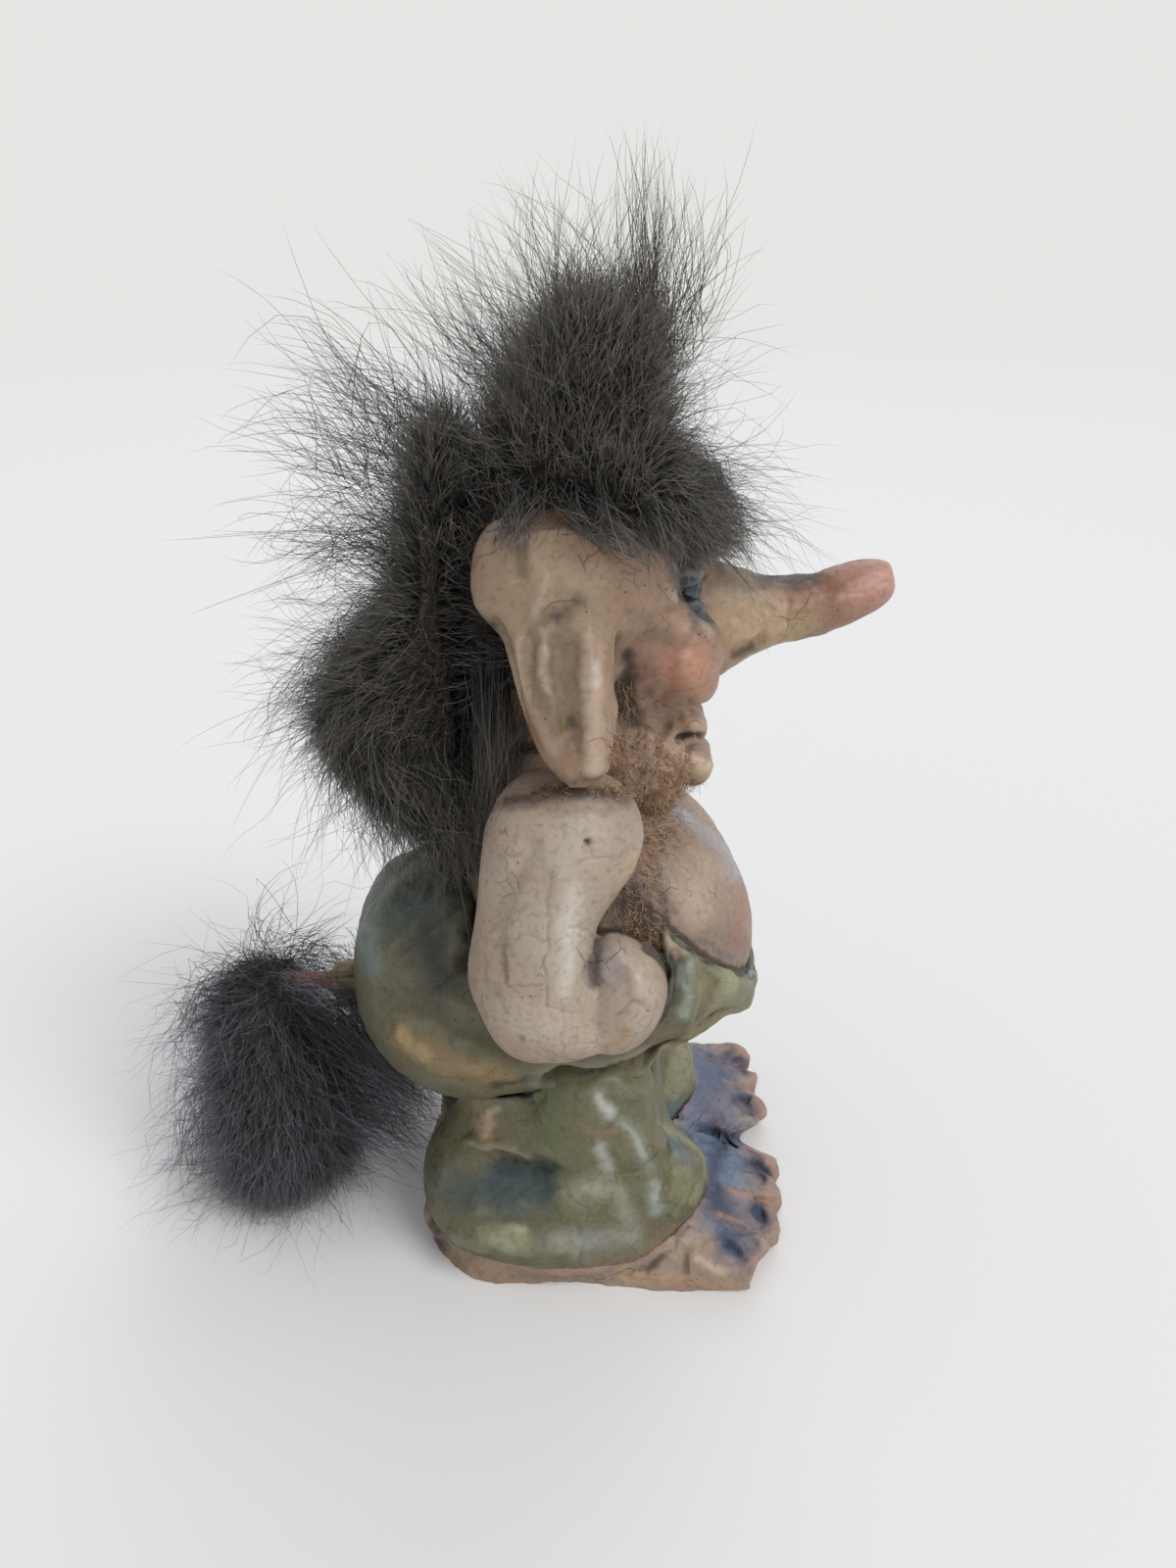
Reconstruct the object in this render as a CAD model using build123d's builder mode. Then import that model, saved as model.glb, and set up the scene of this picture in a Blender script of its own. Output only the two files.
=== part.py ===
# A souvenir troll with a long nose, hanging ears, a fur wig and a tufted tail.
# X runs forward to the nose, Y to the figure's left and Z up.
# The origin is the middle of the sole, on the ground. All sizes are in millimetres.

import os
from math import copysign, cos, pi, sin

from build123d import *

os.makedirs("parts", exist_ok=True)

# Gaps between pieces
glue_gap = 0.2  # bond line between two cast sections
fur_gap = 0.3  # air between the fur and what it lies against
swing_gap = 0.3  # air between pieces that move past each other

# Feet: one slab with the toes of both feet
slab_back_x = -27.5
slab_length = 52.0
slab_half_width = 25.0
slab_height = 2.8
instep_height = 11.0
toes_per_foot = 4
toe_height = 6.0
toe_reach = 3.3  # how far the longest toe passes the slab's front
toe_fullness_share = 1.12  # a toe's width as a share of the room for it
toe_curve = 4.2  # how far the row of toes falls back from the middle to the side
nail_radius = 1.9
nail_depth = 0.9

# Trouser legs, each reaching from the middle plane outwards
leg_back_x = -26.8
leg_length = 41.5
leg_width = 24.5
leg_height = 27.7

# Trouser seat
seat_back_x = -36.3
seat_length = 58.3
seat_width = 48.0
seat_height = 37.0
seat_overlap = 10.0  # how far the seat hangs down over the tops of the legs
flap_thickness = 2.0  # of the pocket flaps, which lie on the belly's sides
flap_back_x = 5.0
rim_back_x = 8.0  # the flaps' rim falls forward from here
rim_back_z = 58.0
rim_front_x = 21.0
rim_front_z = 43.0

# Torso
torso_back_x = -20.0
torso_length = 41.0
torso_width = 42.0
torso_height = 42.0
torso_tuck = 19.0  # how deep the torso sits in the trouser seat

# Arms
arm_back_x = -17.0
arm_length = 24.5
arm_width = 15.0
arm_height = 37.0
arm_drop = 38.7  # from the top of the torso down to the elbow
arm_inset = 6.5  # how far the arm's inner side lies inside the torso's side
crook_radius = 4.2  # of the flesh that fills the crook of the arm
crook_x = 0.5
crook_y = 22.0
crook_z = 55.0

# Head. Rises are measured from its lowest point.
head_back_x = -19.0
head_length = 30.0
head_width = 28.0
head_height = 54.0
head_tuck = 16.7  # how deep the neck sits in the torso
cheek_radius = 4.9
cheek_rise = 28.5
cheek_spread = 10.0
cheek_sink = 2.0
lip_radius = 2.0
lip_half_width = 3.4
lip_rise = 15.0
lip_reach = 1.9  # in front of the face
chin_radius = 2.5
chin_half_width = 2.2
chin_rise = 8.9
chin_reach = 3.1  # in front of the face

# Nose
nose_length = 27.0
nose_width = 17.0
nose_height = 18.0
nose_rise = 19.3
nose_sink = 1.2  # how far its root lies behind the face

# Ears
ear_back_x = -15.5
ear_length = 17.0
ear_spread = 12.5
ear_height = 29.5
ear_rise = 17.0
ear_inset = 2.5  # how far its root lies inside the side of the head

# Eyes
eye_radius = 1.6
eye_rise = 35.3
eye_spread = 8.0
eye_sink = 1.6
socket_radius = 2.9
socket_reach = 1.4  # from the bead's middle forward to the socket's
shank_radius = 0.5
shank_length = 3.2

# Wig
backing_thickness = 0.8
brow_line_rise = 41.0
nape_line_rise = 19.0
crown_back_x = -16.0
crown_length = 32.0
crown_width = 36.0
crown_height = 36.5
crown_rise = 38.5
back_hair_back_x = -40.0
back_hair_length = 27.0
back_hair_width = 37.0
back_hair_height = 65.5
back_hair_fall = 6.5  # below the lowest point of the head

# Tail
tail_rise = 15.9  # from the seat's lowest point up to the tail's root
spot_depth = 0.8  # flat spot cut into the seat for the tail's root
pin_radius = 0.75
pin_fit = 0.05  # radial clearance of the pin
pin_depth = 9.0  # in the seat
pin_reach = 1.8  # in the collar
collar_root_radius = 3.3
collar_end_radius = 2.6
collar_length = 4.2
joint_radius = 1.7
stalk_radius = 1.25
stalk_run = 8.0
stalk_bend = 5.0
stalk_drop = 11.0
wire_radius = 0.45
wire_fit = 0.05
wire_cover = 2.0  # rubber past the end of the wire
tuft_back_x = -64.0
tuft_length = 26.5
tuft_width = 31.0
tuft_height = 40.0
tuft_lift = 1.2  # from the ground up to the lowest hair

# Heights and places that follow from the sizes above
leg_base_z = slab_height + glue_gap
seat_base_z = leg_base_z + leg_height - seat_overlap
torso_base_z = seat_base_z + seat_height - torso_tuck
torso_top_z = torso_base_z + torso_height
arm_base_z = torso_top_z - arm_drop
head_base_z = torso_top_z - head_tuck
face_x = head_back_x + head_length
cheek_x = face_x - cheek_sink
cheek_z = head_base_z + cheek_rise
eye_x = face_x - eye_sink
eye_z = head_base_z + eye_rise
slab_front_x = slab_back_x + slab_length
toe_pitch = slab_half_width / toes_per_foot
toe_radius = toe_pitch * toe_fullness_share / 2
tail_z = seat_base_z + tail_rise
spot_x = seat_back_x + spot_depth
collar_front_x = spot_x - swing_gap
pivot_x = collar_front_x - collar_length
hair_base_gap = glue_gap + backing_thickness + glue_gap

ring_points = 12

# Slices of each sack-like piece. A row holds the slice's back point and front point in the
# side view, as shares of the piece's length and height, then the slice's middle and half
# width as shares of the piece's width.
leg_shares = [
    (0.06, 0.00, 0.94, 0.00, 0.43, 0.46),
    (0.01, 0.08, 1.00, 0.08, 0.46, 0.54),
    (0.00, 0.24, 1.00, 0.26, 0.46, 0.54),
    (0.04, 0.44, 0.97, 0.48, 0.45, 0.51),
    (0.12, 0.60, 0.90, 0.66, 0.40, 0.45),
    (0.13, 0.80, 0.84, 0.85, 0.36, 0.41),
    (0.16, 1.00, 0.80, 1.00, 0.33, 0.38),
]
seat_shares = [
    (0.25, 0.02, 0.60, 0.22, 0.0, 0.20),
    (0.13, 0.08, 0.75, 0.30, 0.0, 0.30),
    (0.04, 0.22, 0.885, 0.37, 0.0, 0.40),
    (0.00, 0.40, 0.985, 0.42, 0.0, 0.47),
    (0.00, 0.56, 1.00, 0.475, 0.0, 0.50),
    (0.02, 0.73, 0.97, 0.54, 0.0, 0.475),
    (0.10, 0.90, 0.88, 0.61, 0.0, 0.41),
    (0.24, 0.99, 0.74, 0.68, 0.0, 0.29),
]
torso_shares = [
    (0.09, 0.00, 0.88, 0.00, 0.0, 0.39),
    (0.00, 0.18, 0.99, 0.13, 0.0, 0.49),
    (0.02, 0.40, 0.97, 0.34, 0.0, 0.50),
    (0.05, 0.60, 0.84, 0.53, 0.0, 0.48),
    (0.07, 0.76, 0.69, 0.67, 0.0, 0.43),
    (0.11, 0.90, 0.58, 0.82, 0.0, 0.36),
    (0.20, 1.00, 0.46, 0.94, 0.0, 0.24),
]
upper_arm_shares = [
    (0.24, 0.01, 0.60, 0.01, 0.50, 0.22),
    (0.08, 0.08, 0.76, 0.07, 0.50, 0.40),
    (0.00, 0.24, 0.80, 0.20, 0.50, 0.50),
    (0.00, 0.43, 0.63, 0.43, 0.50, 0.50),
    (0.05, 0.63, 0.72, 0.63, 0.46, 0.50),
    (0.08, 0.80, 0.85, 0.80, 0.38, 0.50),
    (0.15, 0.93, 0.81, 0.93, 0.28, 0.40),
    (0.31, 1.00, 0.66, 1.00, 0.20, 0.22),
]
hand_shares = [
    (0.60, 0.03, 0.84, 0.05, 0.50, 0.22),
    (0.47, 0.11, 0.96, 0.14, 0.50, 0.38),
    (0.48, 0.24, 1.00, 0.27, 0.49, 0.44),
    (0.60, 0.34, 0.96, 0.36, 0.47, 0.38),
    (0.72, 0.40, 0.88, 0.415, 0.45, 0.20),
]
skull_shares = [
    (0.17, 0.00, 0.90, 0.00, 0.0, 0.32),
    (0.13, 0.13, 0.97, 0.13, 0.0, 0.36),
    (0.10, 0.26, 0.96, 0.26, 0.0, 0.40),
    (0.05, 0.41, 0.93, 0.41, 0.0, 0.45),
    (0.00, 0.55, 1.00, 0.55, 0.0, 0.48),
    (0.00, 0.70, 1.00, 0.69, 0.0, 0.50),
    (0.05, 0.83, 0.90, 0.80, 0.0, 0.48),
    (0.16, 0.94, 0.73, 0.90, 0.0, 0.38),
    (0.33, 1.00, 0.53, 0.97, 0.0, 0.20),
]
ear_shares = [
    (0.52, 0.00, 0.84, 0.00, 0.86, 0.15),
    (0.36, 0.10, 0.92, 0.10, 0.84, 0.28),
    (0.23, 0.27, 0.96, 0.27, 0.74, 0.33),
    (0.11, 0.48, 0.97, 0.48, 0.60, 0.34),
    (0.00, 0.69, 1.00, 0.69, 0.40, 0.32),
    (0.04, 0.89, 0.91, 0.90, 0.28, 0.28),
    (0.26, 0.98, 0.60, 1.00, 0.24, 0.16),
]
# The groove down the outer side of the ear
groove_shares = [
    (0.66, 0.14, 0.76, 0.14, 1.17, 0.10),
    (0.58, 0.27, 0.78, 0.27, 1.14, 0.12),
    (0.52, 0.48, 0.76, 0.48, 1.01, 0.12),
    (0.46, 0.69, 0.70, 0.69, 0.80, 0.12),
    (0.44, 0.84, 0.60, 0.84, 0.68, 0.10),
]
# The nose's slices stand upright, so the first point of a row is the lower one.
nose_shares = [
    (0.00, 0.02, 0.00, 1.00, 0.0, 0.50),
    (0.10, 0.08, 0.12, 0.95, 0.0, 0.44),
    (0.23, 0.20, 0.27, 0.88, 0.0, 0.34),
    (0.39, 0.33, 0.41, 0.84, 0.0, 0.265),
    (0.58, 0.41, 0.56, 0.86, 0.0, 0.235),
    (0.76, 0.51, 0.72, 0.915, 0.0, 0.224),
    (0.895, 0.62, 0.84, 0.95, 0.0, 0.188),
    (0.97, 0.77, 0.945, 0.93, 0.0, 0.09),
]
# So do an instep's, which reach as far below the ground as above it.
instep_shares = [
    (0.40, -0.80, 0.40, 0.80, 0.45, 0.48),
    (0.55, -1.00, 0.55, 1.00, 0.46, 0.50),
    (0.72, -0.95, 0.72, 0.95, 0.47, 0.51),
    (0.85, -0.72, 0.85, 0.72, 0.46, 0.50),
    (0.95, -0.50, 0.95, 0.50, 0.44, 0.48),
]
crown_shares = [
    (0.12, 0.00, 1.00, 0.00, 0.0, 0.44),
    (0.07, 0.16, 0.92, 0.16, 0.0, 0.48),
    (0.03, 0.34, 0.82, 0.34, 0.0, 0.48),
    (0.06, 0.52, 0.77, 0.52, 0.0, 0.44),
    (0.13, 0.70, 0.75, 0.70, 0.0, 0.37),
    (0.26, 0.86, 0.74, 0.86, 0.0, 0.27),
    (0.43, 1.00, 0.70, 1.00, 0.0, 0.14),
]
back_hair_shares = [
    (0.62, 0.00, 0.90, 0.00, 0.0, 0.20),
    (0.47, 0.08, 0.97, 0.08, 0.0, 0.34),
    (0.20, 0.20, 1.00, 0.20, 0.0, 0.44),
    (0.00, 0.35, 1.00, 0.35, 0.0, 0.49),
    (0.08, 0.50, 1.00, 0.50, 0.0, 0.50),
    (0.21, 0.65, 1.00, 0.65, 0.0, 0.50),
    (0.27, 0.79, 0.98, 0.79, 0.0, 0.47),
    (0.34, 0.91, 0.90, 0.91, 0.0, 0.38),
    (0.46, 1.00, 0.76, 1.00, 0.0, 0.22),
]
tuft_shares = [
    (0.14, 0.00, 0.92, 0.00, 0.0, 0.34),
    (0.05, 0.10, 0.99, 0.10, 0.0, 0.45),
    (0.00, 0.28, 1.00, 0.28, 0.0, 0.50),
    (0.01, 0.46, 0.97, 0.46, 0.0, 0.50),
    (0.04, 0.64, 0.90, 0.64, 0.0, 0.47),
    (0.10, 0.82, 0.80, 0.82, 0.0, 0.38),
    (0.22, 1.00, 0.62, 1.00, 0.0, 0.20),
]
# Half of the slab's outline, from the middle of the back round the left side to the front,
# as shares of the slab's length and half width
outline_shares = [
    (0.00, 0.00), (0.02, 0.50), (0.14, 0.88), (0.45, 0.94),
    (0.80, 1.00), (0.92, 0.92), (0.95, 0.50), (0.91, 0.00),
]


class Form:
    """A sack-like shape: its low back corner, its size, its slices and how square they are."""

    def __init__(self, corner, size, shares, squareness=2.0):
        self.corner = corner
        self.size = size
        self.shares = shares
        self.squareness = squareness

    def side_point(self, share_x, share_z):
        """A point of the side view."""
        back_x, _, base_z = self.corner
        length, _, height = self.size
        return Vector(back_x + length * share_x, 0, base_z + height * share_z)

    def slice_at(self, row, side, grow):
        """The middle, the direction, the half length and the half width of one slice."""
        back_x, back_z, front_x, front_z, middle_share, half_share = row
        back = self.side_point(back_x, back_z)
        front = self.side_point(front_x, front_z)
        sideways = self.corner[1] + self.size[1] * middle_share
        middle = (back + front) / 2 + Vector(0, side * sideways, 0)
        half_wide = self.size[1] * half_share + grow
        return middle, (front - back).normalized(), (front - back).length / 2 + grow, half_wide


def ring(half_long, half_wide, squareness):
    """Points round a slice, which is an ellipse when its squareness is 2."""
    points = []
    for step in range(ring_points):
        turn = 2 * pi * (step + 1 / 2) / ring_points
        long_share = copysign(abs(cos(turn)) ** (2 / squareness), cos(turn))
        wide_share = copysign(abs(sin(turn)) ** (2 / squareness), sin(turn))
        points.append((half_long * long_share, half_wide * wide_share))
    return points


def skin(form, side=1, grow=0, mode=Mode.ADD):
    """Loft a form, grown all round by a gap. Side -1 sets it on the figure's right."""
    slices = [form.slice_at(row, side, grow) for row in form.shares]
    middles = [middle for middle, _, _, _ in slices]
    places = [middles[0] + (middles[0] - middles[1]).normalized() * grow]
    places += middles[1:-1]
    places += [middles[-1] + (middles[-1] - middles[-2]).normalized() * grow]
    faces = []
    for place, (_, along, half_long, half_wide) in zip(places, slices):
        plane = Plane(origin=place, x_dir=along, z_dir=(-along.Z, 0, along.X))
        with BuildSketch(plane) as slice_sketch:
            with BuildLine():
                Spline(ring(half_long, half_wide, form.squareness), periodic=True)
            make_face()
        faces.append(slice_sketch.sketch.faces()[0])
    loft(sections=faces, mode=mode)


def balls(radius, spread, x, z, mode=Mode.ADD):
    """A ball on each side of the figure."""
    with Locations((x, -spread, z), (x, spread, z)):
        Sphere(radius, mode=mode)


def roll(radius, half_width, x, z):
    """A rounded bar across the figure."""
    with Locations((x, 0, z)):
        Cylinder(radius, 2 * half_width, rotation=(90, 0, 0))
    balls(radius, half_width, x, z)


def rod(radius, back_x, front_x, y, z, mode=Mode.ADD):
    """A cylinder along X."""
    with Locations(((back_x + front_x) / 2, y, z)):
        Cylinder(radius, front_x - back_x, rotation=(0, 90, 0), mode=mode)


def tail_tube(radius, start_x, end_z, mode=Mode.ADD):
    """A rod that follows the tail: back from start_x, round the bend and down to end_z."""
    bend_x = pivot_x - stalk_run
    with BuildLine() as route:
        run = Line((start_x, 0, tail_z), (bend_x, 0, tail_z))
        turn = TangentArc(
            run @ 1, (bend_x - stalk_bend, 0, tail_z - stalk_bend), tangent=run % 1
        )
        Line(turn @ 1, (bend_x - stalk_bend, 0, end_z))
    with BuildSketch(Plane(origin=(start_x, 0, tail_z), z_dir=(-1, 0, 0))) as section:
        Circle(radius)
    sweep(sections=section.sketch, path=route.line, mode=mode)


leg = Form((leg_back_x, 0, leg_base_z), (leg_length, leg_width, leg_height), leg_shares, 2.2)
seat = Form(
    (seat_back_x, 0, seat_base_z), (seat_length, seat_width, seat_height), seat_shares, 2.1
)
chest = Form(
    (torso_back_x, 0, torso_base_z), (torso_length, torso_width, torso_height),
    torso_shares, 2.1,
)
arm_corner = (arm_back_x, torso_width / 2 - arm_inset, arm_base_z)
arm_size = (arm_length, arm_width, arm_height)
upper_arm = Form(arm_corner, arm_size, upper_arm_shares)
hand = Form(arm_corner, arm_size, hand_shares)
skull = Form(
    (head_back_x, 0, head_base_z), (head_length, head_width, head_height), skull_shares, 2.5
)
snout = Form(
    (face_x - nose_sink, 0, head_base_z + nose_rise), (nose_length, nose_width, nose_height),
    nose_shares,
)
ear_corner = (ear_back_x, head_width / 2 - ear_inset, head_base_z + ear_rise)
ear_size = (ear_length, ear_spread, ear_height)
ear = Form(ear_corner, ear_size, ear_shares)
groove = Form(ear_corner, ear_size, groove_shares)
crown = Form(
    (crown_back_x, 0, head_base_z + crown_rise), (crown_length, crown_width, crown_height),
    crown_shares, 2.2,
)
back_hair = Form(
    (back_hair_back_x, 0, head_base_z - back_hair_fall),
    (back_hair_length, back_hair_width, back_hair_height), back_hair_shares, 2.2,
)
tuft = Form((tuft_back_x, 0, tuft_lift), (tuft_length, tuft_width, tuft_height), tuft_shares)
instep = Form((slab_back_x, 0, 0), (slab_length, slab_half_width, instep_height), instep_shares)

# Feet: the slab with insteps and toes on it, cut off flat at the ground
with BuildPart() as feet_base:
    with BuildSketch():
        with BuildLine():
            left_half = [(slab_back_x + slab_length * x_share, slab_half_width * y_share)
                         for x_share, y_share in outline_shares]
            right_half = [(x, -y) for x, y in reversed(left_half[1:-1])]
            Spline(left_half + right_half, periodic=True)
        make_face()
    extrude(amount=slab_height)
    for side in (-1, 1):
        skin(instep, side)
        for toe in range(toes_per_foot):
            toe_share = (toe + 1 / 2) / toes_per_foot
            toe_y = side * slab_half_width * toe_share
            tip_x = slab_front_x + toe_reach - toe_curve * toe_share**2 - toe_radius
            rod(toe_radius, slab_front_x - 2 * toe_pitch, tip_x, toe_y, toe_height - toe_radius)
            with Locations((tip_x, toe_y, toe_height - toe_radius)):
                Sphere(toe_radius)
            with Locations((tip_x, toe_y, toe_height + nail_radius - nail_depth)):
                Sphere(nail_radius, mode=Mode.SUBTRACT)
    split(bisect_by=Plane.XY, keep=Keep.TOP)
    for side in (-1, 1):
        skin(leg, side, grow=glue_gap, mode=Mode.SUBTRACT)
feet_base.part.label = "feet_base"

# Each leg stands on the slab, and the seat hangs over its top
with BuildPart() as right_trouser_leg:
    skin(leg, side=-1)
    split(bisect_by=Plane.XZ.offset(glue_gap / 2), keep=Keep.TOP)
    skin(seat, grow=glue_gap, mode=Mode.SUBTRACT)
right_trouser_leg.part.label = "right_trouser_leg"

with BuildPart() as left_trouser_leg:
    mirror(right_trouser_leg.part, about=Plane.XZ)
left_trouser_leg.part.label = "left_trouser_leg"

# The pocket flaps are a band round the belly, cut off along a rim that rises to the hands
rim_front = Vector(rim_front_x, 0, rim_front_z)
rim_run = rim_front - Vector(rim_back_x, 0, rim_back_z)
with BuildPart() as flaps:
    skin(chest, grow=flap_thickness)
    split(
        bisect_by=Plane(rim_front, x_dir=rim_run, z_dir=(-rim_run.Z, 0, rim_run.X)),
        keep=Keep.BOTTOM,
    )
    split(bisect_by=Plane.YZ.offset(flap_back_x), keep=Keep.TOP)

# The seat is a bag round the lower torso, with a flat spot and a bore for the tail's pin
with BuildPart() as trouser_seat:
    skin(seat)
    add(flaps.part)
    skin(chest, grow=glue_gap, mode=Mode.SUBTRACT)
    for side in (-1, 1):
        skin(hand, side, grow=glue_gap, mode=Mode.SUBTRACT)
    rod(collar_root_radius + swing_gap, spot_x - collar_length, spot_x, 0, tail_z, Mode.SUBTRACT)
    rod(pin_radius + pin_fit, spot_x, spot_x + pin_depth, 0, tail_z, Mode.SUBTRACT)
trouser_seat.part.label = "trouser_seat"

with BuildPart() as torso:
    skin(chest)
torso.part.label = "torso"

# The arm hangs beside the torso and turns forward into the hand
with BuildPart() as right_arm:
    skin(upper_arm, side=-1)
    skin(hand, side=-1)
    with Locations((crook_x, -crook_y, crook_z)):
        Sphere(crook_radius)
    for neighbour in (chest, seat, skull):
        skin(neighbour, grow=glue_gap, mode=Mode.SUBTRACT)
right_arm.part.label = "right_arm"

with BuildPart() as left_arm:
    mirror(right_arm.part, about=Plane.XZ)
left_arm.part.label = "left_arm"

# Head: skull and jaw with cheeks and lips, and a socket and shank bore for each eye
with BuildPart() as head:
    skin(skull)
    balls(cheek_radius, cheek_spread, cheek_x, cheek_z)
    roll(lip_radius, lip_half_width, face_x + lip_reach - lip_radius, head_base_z + lip_rise)
    roll(chin_radius, chin_half_width, face_x + chin_reach - chin_radius, head_base_z + chin_rise)
    balls(socket_radius, eye_spread, eye_x + socket_reach, eye_z, Mode.SUBTRACT)
    balls(eye_radius + glue_gap, eye_spread, eye_x, eye_z, Mode.SUBTRACT)
    for eye_y in (-eye_spread, eye_spread):
        shank_back_x = eye_x - eye_radius - shank_length
        rod(shank_radius + glue_gap, shank_back_x - glue_gap, eye_x, eye_y, eye_z, Mode.SUBTRACT)
    skin(chest, grow=glue_gap, mode=Mode.SUBTRACT)
head.part.label = "head"

with BuildPart() as nose:
    skin(snout)
    skin(skull, grow=glue_gap, mode=Mode.SUBTRACT)
    balls(cheek_radius + glue_gap, cheek_spread, cheek_x, cheek_z, Mode.SUBTRACT)
nose.part.label = "nose"

with BuildPart() as right_ear:
    skin(ear, side=-1)
    skin(skull, grow=glue_gap, mode=Mode.SUBTRACT)
    skin(groove, side=-1, mode=Mode.SUBTRACT)
right_ear.part.label = "right_ear"

with BuildPart() as left_ear:
    mirror(right_ear.part, about=Plane.XZ)
left_ear.part.label = "left_ear"

with BuildPart() as right_eye:
    with Locations((eye_x, -eye_spread, eye_z)):
        Sphere(eye_radius)
    rod(shank_radius, eye_x - eye_radius - shank_length, eye_x, -eye_spread, eye_z)
right_eye.part.label = "right_eye"

with BuildPart() as left_eye:
    mirror(right_eye.part, about=Plane.XZ)
left_eye.part.label = "left_eye"

# The wig's cloth backing covers the skull behind a line from the brow down to the nape
brow_point = Vector(face_x, 0, head_base_z + brow_line_rise)
nape_point = Vector(head_back_x, 0, head_base_z + nape_line_rise)
hairline = brow_point - nape_point
with BuildPart() as scalp_backing:
    skin(skull, grow=glue_gap + backing_thickness)
    skin(skull, grow=glue_gap, mode=Mode.SUBTRACT)
    split(
        bisect_by=Plane(nape_point, x_dir=hairline, z_dir=(-hairline.Z, 0, hairline.X)),
        keep=Keep.TOP,
    )
    for side in (-1, 1):
        skin(ear, side, grow=glue_gap, mode=Mode.SUBTRACT)
scalp_backing.part.label = "scalp_backing"

with BuildPart() as hair_crown:
    skin(crown)
    skin(skull, grow=hair_base_gap, mode=Mode.SUBTRACT)
    for side in (-1, 1):
        skin(ear, side, grow=fur_gap, mode=Mode.SUBTRACT)
hair_crown.part.label = "hair_crown"

with BuildPart() as hair_back:
    skin(back_hair)
    skin(skull, grow=hair_base_gap, mode=Mode.SUBTRACT)
    for neighbour in (crown, chest, seat):
        skin(neighbour, grow=fur_gap, mode=Mode.SUBTRACT)
    for side in (-1, 1):
        skin(ear, side, grow=fur_gap, mode=Mode.SUBTRACT)
        skin(upper_arm, side, grow=fur_gap, mode=Mode.SUBTRACT)
hair_back.part.label = "hair_back"

# Tail: the collar turns on the pin, and the stalk's ball lifts in the collar's cup
with BuildPart() as tail_pin:
    rod(pin_radius, spot_x - swing_gap - pin_reach, spot_x + pin_depth, 0, tail_z)
tail_pin.part.label = "tail_pin"

with BuildPart() as tail_collar:
    with BuildSketch(Plane((pivot_x, 0, tail_z), x_dir=(1, 0, 0), z_dir=(0, -1, 0))):
        with BuildLine():
            Polyline(
                (0, pin_radius + pin_fit), (collar_length, pin_radius + pin_fit),
                (collar_length, collar_root_radius), (0, collar_end_radius), close=True,
            )
        make_face()
        Circle(joint_radius + swing_gap, mode=Mode.SUBTRACT)
    revolve(axis=Axis((pivot_x, 0, tail_z), (1, 0, 0)))
tail_collar.part.label = "tail_collar"

stalk_x = pivot_x - stalk_run - stalk_bend
stalk_end_z = tail_z - stalk_bend - stalk_drop
with BuildPart() as tail_stalk:
    with Locations((pivot_x, 0, tail_z)):
        Sphere(joint_radius)
    tail_tube(stalk_radius, pivot_x, stalk_end_z)
    with Locations((stalk_x, 0, stalk_end_z)):
        Sphere(stalk_radius)
    tail_tube(wire_radius + wire_fit, pivot_x + joint_radius, stalk_end_z, Mode.SUBTRACT)
tail_stalk.part.label = "tail_stalk"

with BuildPart() as tail_wire:
    tail_tube(wire_radius, pivot_x, stalk_end_z + wire_cover)
tail_wire.part.label = "tail_wire"

with BuildPart() as tail_tuft:
    skin(tuft)
    tail_tube(stalk_radius + glue_gap, pivot_x, stalk_end_z, Mode.SUBTRACT)
    with Locations((stalk_x, 0, stalk_end_z)):
        Sphere(stalk_radius + glue_gap, mode=Mode.SUBTRACT)
tail_tuft.part.label = "tail_tuft"

pieces = (
    feet_base, right_trouser_leg, left_trouser_leg, trouser_seat, torso, right_arm, left_arm,
    head, nose, right_ear, left_ear, right_eye, left_eye, scalp_backing, hair_crown, hair_back,
    tail_pin, tail_collar, tail_stalk, tail_wire, tail_tuft,
)
for piece in pieces:
    export_step(piece.part, f"parts/{piece.part.label}.step")
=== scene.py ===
# A souvenir troll with a long nose, hanging ears, a fur wig and a tufted tail.
# X runs forward to the nose, Y to the figure's left and Z up. Objects are in metres.

import math

import bmesh
import bpy
import numpy as np
from mathutils import Matrix, Vector
from mathutils.bvhtree import BVHTree
from mathutils.kdtree import KDTree


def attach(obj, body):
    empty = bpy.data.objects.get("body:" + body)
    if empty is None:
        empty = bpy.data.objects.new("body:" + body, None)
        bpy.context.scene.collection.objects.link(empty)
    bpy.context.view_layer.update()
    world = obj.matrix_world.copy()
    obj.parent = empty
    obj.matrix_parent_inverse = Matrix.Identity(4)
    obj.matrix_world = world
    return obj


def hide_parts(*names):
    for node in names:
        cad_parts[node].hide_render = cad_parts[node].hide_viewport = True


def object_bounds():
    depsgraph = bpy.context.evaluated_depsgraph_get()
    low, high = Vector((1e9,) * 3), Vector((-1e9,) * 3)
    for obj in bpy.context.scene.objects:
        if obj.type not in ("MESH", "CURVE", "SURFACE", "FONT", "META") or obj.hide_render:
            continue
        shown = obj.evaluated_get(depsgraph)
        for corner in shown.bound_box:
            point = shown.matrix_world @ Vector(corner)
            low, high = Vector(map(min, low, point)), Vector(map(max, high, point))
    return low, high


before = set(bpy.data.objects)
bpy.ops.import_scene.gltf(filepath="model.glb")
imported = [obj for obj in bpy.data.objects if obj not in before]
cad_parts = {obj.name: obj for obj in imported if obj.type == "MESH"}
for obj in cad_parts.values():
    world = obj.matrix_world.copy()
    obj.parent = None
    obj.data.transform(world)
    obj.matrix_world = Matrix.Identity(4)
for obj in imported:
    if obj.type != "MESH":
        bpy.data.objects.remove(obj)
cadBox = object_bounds()
mm = 0.001

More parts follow.
